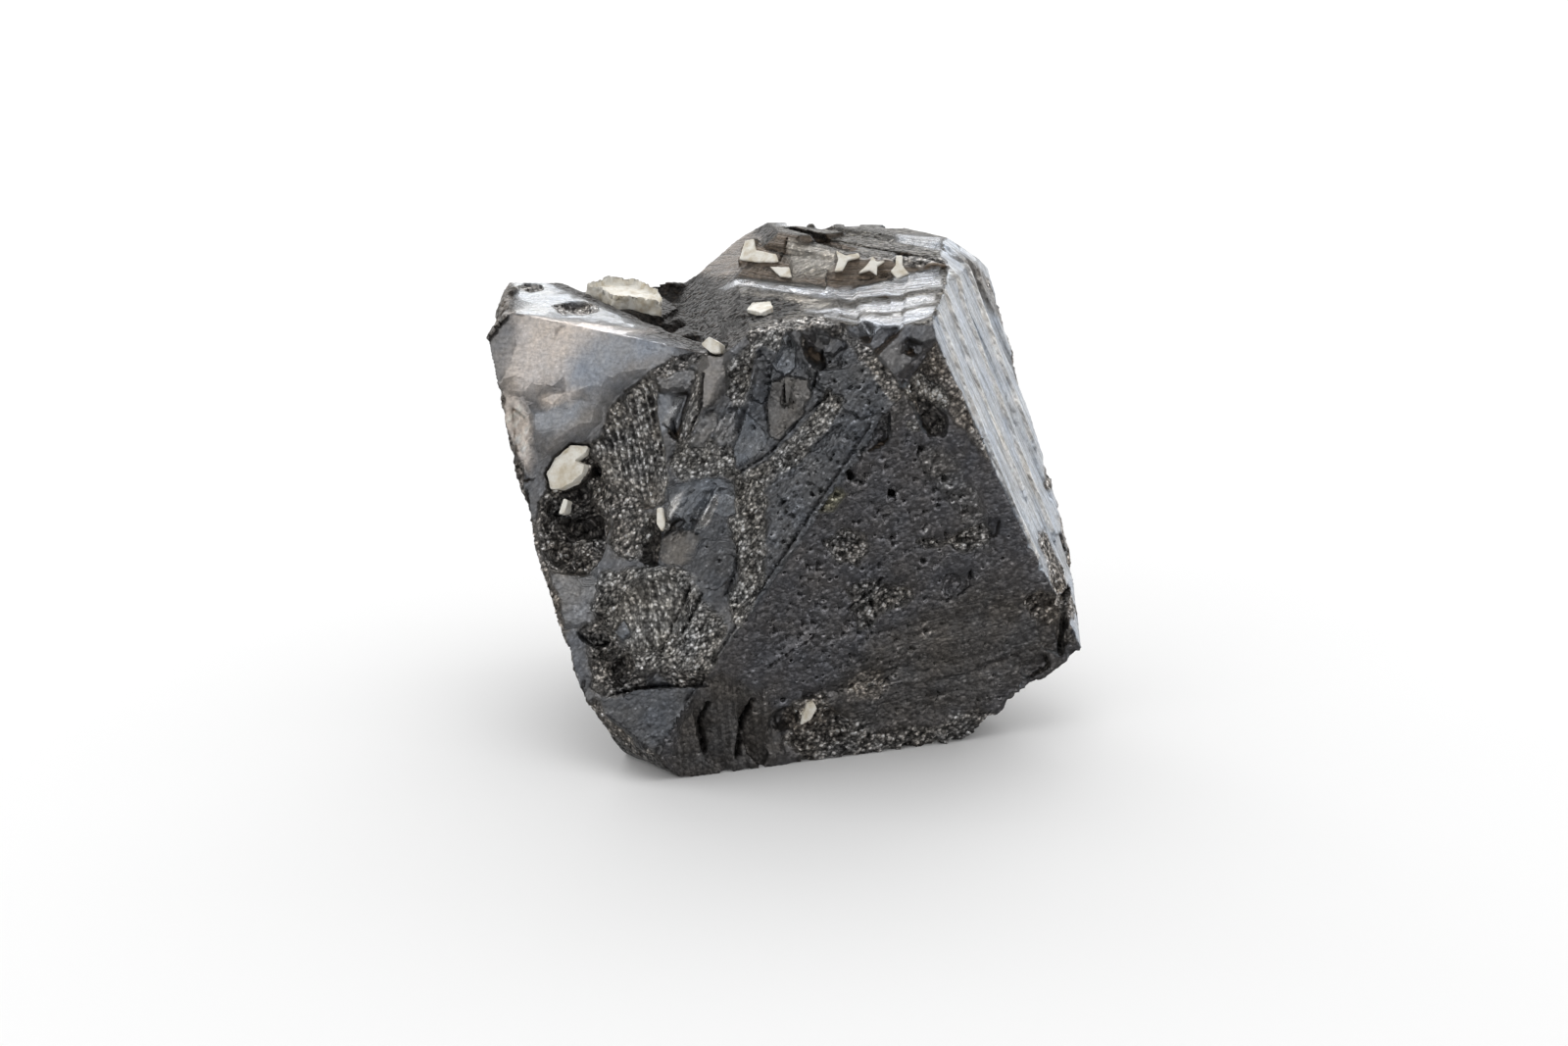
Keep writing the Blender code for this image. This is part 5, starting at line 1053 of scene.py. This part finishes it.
def sulphide_material(settings):
    """Alabandite, a black sulphide that cleaves: mirror-like on flat cleavage, glinting where crushed."""
    made, tree = new_material("alabandite_cleaved_and_crushed")
    place = add(tree, "TexCoord").outputs["Object"]
    tint = add(tree, "Attribute", {"attribute_name": "tint"}).outputs["Color"]
    finish = add(tree, "Attribute", {"attribute_name": "finish"})
    lay = add(tree, "Attribute", {"attribute_name": "lay"}).outputs["Vector"]
    parts = add(tree, "SeparateColor", Color=finish.outputs["Color"])
    rough, crumb, groove = parts.outputs[0], parts.outputs[1], parts.outputs[2]
    pitted = finish.outputs["Alpha"]

    # crushed grains: small domed facets, each with its own tilt and a random brightness with rare painted
    # glints, and painted shade in the gaps between them
    drawn = add(tree, "VectorMath", MULTIPLY, i0=lay, i1=(1.0, 0.8, 1.0)).outputs[0]
    height, shade = None, None
    for width, steepness, least, most, power in CRUSHED_GRAINS:
        cells = add(tree, "TexVoronoi", Vector=drawn, Scale=1 / width)
        distance = cells.outputs["Distance"]
        away = add(tree, "VectorMath", SUBTRACT, i0=drawn, i1=cells.outputs["Position"])
        tilt = add(tree, "VectorMath", SUBTRACT, i0=cells.outputs["Color"], i1=(0.5, 0.5, 0.5))
        slope = add(tree, "VectorMath", {"operation": "DOT_PRODUCT"}, i0=away.outputs[0], i1=tilt.outputs[0])
        facet = add(tree, "Math", MULTIPLY, i0=slope.outputs["Value"], i1=steepness)
        chance = add(tree, "SeparateColor", Color=cells.outputs["Color"])
        rare = add(tree, "Math", {"operation": "POWER"}, i0=chance.outputs[1], i1=power)
        bright = add(tree, "MapRange", Value=rare.outputs[0], To_Min=least, To_Max=most)
        # painted shade in the gaps between grains, and a little painted light at their middles
        gap = add(tree, "MapRange", Value=distance, From_Min=0.30, From_Max=0.70, To_Min=1.15, To_Max=0.35)
        bright = add(tree, "Math", MULTIPLY, i0=bright.outputs[0], i1=gap.outputs[0])
        facet = add(tree, "Math", MULTIPLY_ADD, i0=distance, i1=-0.6 * width, i2=facet.outputs[0])
        if height is None:
            height, shade = facet, bright
        else:
            height = add(tree, "Math", ADD, i0=height.outputs[0], i1=facet.outputs[0])
            shade = add(tree, "Math", MULTIPLY, i0=shade.outputs[0], i1=bright.outputs[0])
    height = add(tree, "Math", MULTIPLY, i0=height.outputs[0], i1=crumb)
    shade = add(tree, "Mix", {"data_type": "FLOAT"}, i0=crumb, i2=1.0, i3=shade.outputs[0])

    # striations: fine lines about 0.2 mm apart, drawn out along the grain, darkened with painted shade in
    # their troughs
    stretched = add(tree, "VectorMath", MULTIPLY, i0=lay, i1=(2.4, 0.14, 0.0)).outputs[0]
    lines = add(tree, "TexNoise", {"noise_dimensions": "2D"}, Vector=stretched, Scale=1.0, Detail=4.0,
                Roughness=0.7)
    line = add(tree, "Math", SUBTRACT, i0=lines.outputs[0], i1=0.5)
    line = add(tree, "Math", MULTIPLY, i0=line.outputs[0], i1=groove).outputs[0]
    height = add(tree, "Math", MULTIPLY_ADD, i0=line, i1=0.30, i2=height.outputs[0])
    # painted shade in the striations' troughs
    line_shade = add(tree, "MapRange", Value=line, From_Min=-0.10, From_Max=0.04, To_Min=0.40, To_Max=1.0)
    shade = add(tree, "Math", MULTIPLY, i0=shade.outputs[0], i1=line_shade.outputs[0])

    # fine etched pits, each in its own cell, with painted shade inside and a painted highlight on the lower
    # lip
    upright = add(tree, "SeparateXYZ", Vector=place).outputs[2]
    for width, least, widest in ETCHED_PITS:
        cells = add(tree, "TexVoronoi", Vector=place, Scale=1 / (width * MM))
        chance = add(tree, "SeparateColor", Color=cells.outputs["Color"])
        reach = add(tree, "MapRange", Value=chance.outputs[0], From_Min=least, To_Min=0.0, To_Max=widest)
        reach = add(tree, "Math", MULTIPLY, i0=reach.outputs[0], i1=pitted).outputs[0]
        inward = add(tree, "Math", SUBTRACT, i0=reach, i1=cells.outputs["Distance"]).outputs[0]
        hollow = add(tree, "Math", {"operation": "MAXIMUM"}, i0=inward, i1=0.0).outputs[0]
        height = add(tree, "Math", MULTIPLY_ADD, i0=hollow, i1=-1.3 * width, i2=height.outputs[0])
        # painted shade inside each pit
        inner = add(tree, "MapRange", Value=hollow, From_Min=0.02, From_Max=0.12, To_Min=1.0, To_Max=0.2)
        shade = add(tree, "Math", MULTIPLY, i0=shade.outputs[0], i1=inner.outputs[0])
        centre = add(tree, "SeparateXYZ", Vector=cells.outputs["Position"]).outputs[2]
        below = add(tree, "Math", {"operation": "LESS_THAN"}, i0=upright, i1=centre)
        # a painted highlight on each pit's lower lip
        lip = add(tree, "MapRange", SMOOTH_STEP, Value=inward, From_Min=-0.14, From_Max=-0.04)
        held = add(tree, "Math", {"operation": "GREATER_THAN"}, i0=reach, i1=0.08)
        lip = add(tree, "Math", MULTIPLY, i0=lip.outputs[0], i1=below.outputs[0])
        lip = add(tree, "Math", MULTIPLY, i0=lip.outputs[0], i1=held.outputs[0])
        glint = add(tree, "Math", MULTIPLY_ADD, i0=lip.outputs[0], i1=1.3, i2=1.0)
        shade = add(tree, "Math", MULTIPLY, i0=shade.outputs[0], i1=glint.outputs[0])

    # grain of the cleavage itself, about 0.2 mm, and faint
    fine = add(tree, "TexNoise", Vector=place, Scale=1 / (0.4 * MM), Detail=4.0, Roughness=0.7).outputs[0]
    height = add(tree, "Math", MULTIPLY_ADD, i0=fine, i1=0.030, i2=height.outputs[0])
    mottle = add(tree, "MapRange", Value=fine, From_Min=0.36, From_Max=0.64, To_Min=0.80, To_Max=1.20)
    shade = add(tree, "Math", MULTIPLY, i0=shade.outputs[0], i1=mottle.outputs[0])
    bump = add(tree, "Bump", Strength=1.0, Distance=MM, Height=height.outputs[0])

    # tarnish: cloudy warm and cool patches a few millimetres wide
    cloud = add(tree, "TexNoise", Vector=place, Scale=1 / (4.0 * MM), Detail=6.0, Roughness=0.65)
    ramp = add(tree, "ValToRGB", Fac=cloud.outputs[0])
    cool, warm = ramp.color_ramp.elements
    cool.position, warm.position = 0.36, 0.62
    cool.color, warm.color = (*settings.tarnish_cool, 1), (*settings.tarnish_warm, 1)
    tarnished = {"data_type": "RGBA", "blend_type": "MULTIPLY"}
    base = add(tree, "Mix", tarnished, i0=0.8, i6=tint, i7=ramp.outputs[0])
    # the shade brings in the grains' random tone and the mottling, along with the painted shade and painted
    # glints of grains, striations and pits
    base = add(tree, "VectorMath", {"operation": "SCALE"}, i0=base.outputs[2], Scale=shade.outputs[0])
    base = add(tree, "VectorMath", {"operation": "MINIMUM"}, i0=base.outputs[0], i1=(0.95, 0.95, 0.95))

    # crushed grains also scatter the light that enters them, so they are less of a mirror
    metal = add(tree, "MapRange", Value=crumb, To_Min=0.92, To_Max=0.45)
    shader = add(tree, "BsdfPrincipled", Base_Color=base.outputs[0], Metallic=metal.outputs[0],
                 Roughness=rough, Normal=bump.outputs[0])
    add(tree, "OutputMaterial", Surface=shader.outputs[0])
    return made


def calcite_material(settings):
    """Calcite, a soft white mineral: matte and chalky where it weathered, stained in patches."""
    made, tree = new_material("calcite_weathered")
    place = add(tree, "TexCoord").outputs["Object"]
    # stains about 1 mm wide
    cloud = add(tree, "TexNoise", Vector=place, Scale=1 / (1.3 * MM), Detail=5.0, Roughness=0.65)
    ramp = add(tree, "ValToRGB", Fac=cloud.outputs[0])
    stained, clean = ramp.color_ramp.elements
    stained.position, clean.position = 0.34, 0.56
    stained.color, clean.color = (*settings.calcite_stained, 1), (*settings.calcite_white, 1)
    # chalky grain of 0.15 mm
    fine = add(tree, "TexNoise", Vector=place, Scale=1 / (0.3 * MM), Detail=4.0, Roughness=0.7)
    bump = add(tree, "Bump", Strength=0.7, Distance=0.12 * MM, Height=fine.outputs[0])
    shader = add(tree, "BsdfPrincipled", Base_Color=ramp.outputs[0], Roughness=0.62, IOR=1.55,
                 Normal=bump.outputs[0])
    add(tree, "OutputMaterial", Surface=shader.outputs[0])
    return made


def paper_material():
    """Pale backdrop paper, uncoated: even and without gloss."""
    made, tree = new_material("paper_uncoated")
    pale = (*linear("#f0f0f0"), 1)
    shader = add(tree, "BsdfPrincipled", Base_Color=pale, Roughness=0.9, Specular_IOR_Level=0.1)
    add(tree, "OutputMaterial", Surface=shader.outputs[0])
    return made


# ---------------------------------------------------------------- operators

# Edges that turn by more than this stay crisp.
SHARP_ANGLE = 38
# The camera and the panels look at a point this high above the floor, and the camera looks down this far.
AIM_HEIGHT = 19.0
CAMERA_ELEVATION = 18
# The stage's own sizes are in metres.
CAMERA_DISTANCE = 0.415
FLOOR_REACH = 6.0


class SpecimenSettings(bpy.types.PropertyGroup):
    """What a user would change about the specimen."""

    spacing: bpy.props.FloatProperty(
        name="Skin spacing", description="Distance between the points of the block's skin", default=0.2 * MM,
        min=0.15 * MM, max=1.0 * MM, precision=5, unit="LENGTH",
    )
    relief: bpy.props.FloatProperty(
        name="Relief", description="How strongly crumbs, grooves and pits stand out", default=1.0, min=0.0,
        max=2.0, subtype="FACTOR",
    )
    tarnish_cool: bpy.props.FloatVectorProperty(
        name="Cool tarnish", description="Tint of the bluish parts of the sulphide", subtype="COLOR",
        default=linear("#e9edf3"), min=0.0, max=1.0,
    )
    tarnish_warm: bpy.props.FloatVectorProperty(
        name="Warm tarnish", description="Tint of the brownish parts of the sulphide", subtype="COLOR",
        default=linear("#f8f3ec"), min=0.0, max=1.0,
    )
    calcite_white: bpy.props.FloatVectorProperty(
        name="Clean calcite", description="Colour of the calcite where it is clean", subtype="COLOR",
        default=linear("#efece3"), min=0.0, max=1.0,
    )
    calcite_stained: bpy.props.FloatVectorProperty(
        name="Stained calcite", description="Colour of the calcite where it is stained", subtype="COLOR",
        default=linear("#cdc2ac"), min=0.0, max=1.0,
    )


class SPECIMEN_OT_block(bpy.types.Operator):
    """Builds the cleaved black block over its solid"""

    bl_idname = "specimen.block"
    bl_label = "Alabandite Block"

    def execute(self, context):
        settings = context.scene.specimen
        spacing = settings.spacing / MM
        seats = [plug(name, *setting[:2]) for name, setting in GRAINS.items()]
        cuts = [filling(*setting) for setting in FILLINGS]
        skin = Skin(remeshed(welded(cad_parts[BLOCK]), spacing, seats + cuts))
        lay_face_finishes(skin)
        lay_patches(skin, PATCHES, banded=False)
        lay_patches(skin, BANDS, banded=True)
        lay_ledges(skin)
        lay_cracks(skin)
        lay_pits(skin)
        skin.lift *= settings.relief
        write_skin(skin)
        mesh = thinned(skin.mesh, BLOCK_TRIANGLES)
        mesh.name = "alabandite_cleaved_block"
        mesh.shade_smooth()
        mesh.set_sharp_from_angle(angle=math.radians(SHARP_ANGLE))
        piece = bpy.data.objects.new("alabandite_cleaved_block", mesh)
        context.scene.collection.objects.link(piece)
        mesh.materials.clear()
        mesh.materials.append(sulphide_material(settings))
        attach(piece, "root")
        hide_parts(BLOCK)
        return {"FINISHED"}


class SPECIMEN_OT_grains(bpy.types.Operator):
    """Builds the pale grains set in the block"""

    bl_idname = "specimen.grains"
    bl_label = "Calcite Grains"

    def execute(self, context):
        white = calcite_material(context.scene.specimen)
        for name, (face, _, worn, rough) in GRAINS.items():
            mesh = worn_grain(name, face, worn, rough)
            mesh.name = name + "_worn"
            mesh.shade_smooth()
            mesh.materials.clear()
            mesh.materials.append(white)
            piece = bpy.data.objects.new(name + "_worn", mesh)
            context.scene.collection.objects.link(piece)
            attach(piece, "root")
            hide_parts(name)
        return {"FINISHED"}


# Soft panels: (name, azimuth, elevation, distance, width, height, brightness of its face). The one behind
# gives the flat faces that look up their sheen.
PANELS = (
    ("back_panel", 180, 27, 0.9, 1.3, 0.45, 2.2),
    ("left_panel", -52, 30, 0.8, 0.55, 0.5, 0.5),
    ("top_panel", 20, 80, 0.9, 0.5, 0.5, 0.8),
)


def panel_light(name, aim, azimuth, elevation, distance, width, height, radiance):
    """A soft panel that looks at the aim and that the camera doesn't see."""
    lamp = bpy.data.lights.new(name, "AREA")
    lamp.shape = "RECTANGLE"
    lamp.size, lamp.size_y = width, height
    lamp.energy = radiance * math.pi * width * height
    made = bpy.data.objects.new(name, lamp)
    bpy.context.scene.collection.objects.link(made)
    way = Vector(direction(azimuth, elevation))
    made.location = aim + way * distance
    made.rotation_euler = (-way).to_track_quat("-Z", "Y").to_euler()
    made.visible_camera = False


def studio_world():
    """Even pale light, brighter behind the block, and dim below it, as over a dark table."""
    world = bpy.data.worlds.new("studio")
    world.use_nodes = True
    tree = world.node_tree
    tree.nodes.clear()
    way = add(tree, "TexCoord").outputs["Generated"]
    axes = add(tree, "SeparateXYZ", Vector=way)
    above = add(tree, "MapRange", {"interpolation_type": "SMOOTHSTEP"}, Value=axes.outputs[2], From_Min=-0.38,
                From_Max=-0.12, To_Min=0.14, To_Max=1.0)
    behind = add(tree, "MapRange", {"interpolation_type": "SMOOTHSTEP"}, Value=axes.outputs[1], From_Min=-0.7,
                 From_Max=0.8, To_Min=0.5, To_Max=1.35)
    light = add(tree, "Math", {"operation": "MULTIPLY"}, i0=above.outputs[0], i1=behind.outputs[0])
    back = add(tree, "Background", Color=(1.0, 1.0, 1.0, 1.0), Strength=light.outputs[0])
    add(tree, "OutputWorld", Surface=back.outputs[0])
    return world


class SPECIMEN_OT_stage(bpy.types.Operator):
    """Lays the pale floor, the soft studio light and the camera"""

    bl_idname = "specimen.stage"
    bl_label = "Stage"

    def execute(self, context):
        scene = context.scene
        aim = (Vector(LAYOUT_ORIGIN) + Vector((0, 0, AIM_HEIGHT))) * MM
        plane = bmesh.new()
        bmesh.ops.create_grid(plane, x_segments=1, y_segments=1, size=FLOOR_REACH)
        mesh = bpy.data.meshes.new("studio_floor")
        plane.to_mesh(mesh)
        plane.free()
        mesh.materials.append(paper_material())
        floor = bpy.data.objects.new("studio_floor", mesh)
        scene.collection.objects.link(floor)
        floor.visible_glossy = False

        scene.world = studio_world()
        for name, *setting in PANELS:
            panel_light(name, aim, *setting)

        lens = bpy.data.cameras.new("camera")
        lens.lens, lens.sensor_width = 100, 36
        lens.clip_start = 0.01
        camera = bpy.data.objects.new("camera", lens)
        scene.collection.objects.link(camera)
        way = Vector(direction(0, CAMERA_ELEVATION))
        camera.location = aim + way * CAMERA_DISTANCE
        camera.rotation_euler = (-way).to_track_quat("-Z", "Y").to_euler()
        scene.camera = camera
        scene.view_settings.view_transform = "Standard"
        return {"FINISHED"}


class SPECIMEN_PT_panel(bpy.types.Panel):
    """Shows the specimen's settings and the buttons that build its pieces in the sidebar"""

    bl_idname = "SPECIMEN_PT_panel"
    bl_label = "Alabandite Specimen"
    bl_space_type = "VIEW_3D"
    bl_region_type = "UI"
    bl_category = "Specimen"

    def draw(self, context):
        settings = context.scene.specimen
        for name in ("spacing", "relief", "tarnish_cool", "tarnish_warm", "calcite_white", "calcite_stained"):
            self.layout.prop(settings, name)
        for operator in OPERATORS:
            self.layout.operator(operator.bl_idname)


OPERATORS = (SPECIMEN_OT_block, SPECIMEN_OT_grains, SPECIMEN_OT_stage)
CLASSES = (SpecimenSettings, *OPERATORS, SPECIMEN_PT_panel)


def register():
    for made in CLASSES:
        bpy.utils.register_class(made)
    bpy.types.Scene.specimen = bpy.props.PointerProperty(type=SpecimenSettings)


def unregister():
    del bpy.types.Scene.specimen
    for made in reversed(CLASSES):
        bpy.utils.unregister_class(made)


def main():
    register()
    bpy.ops.specimen.block()
    bpy.ops.specimen.grains()
    bpy.ops.specimen.stage()


if __name__ == "__main__":
    main()
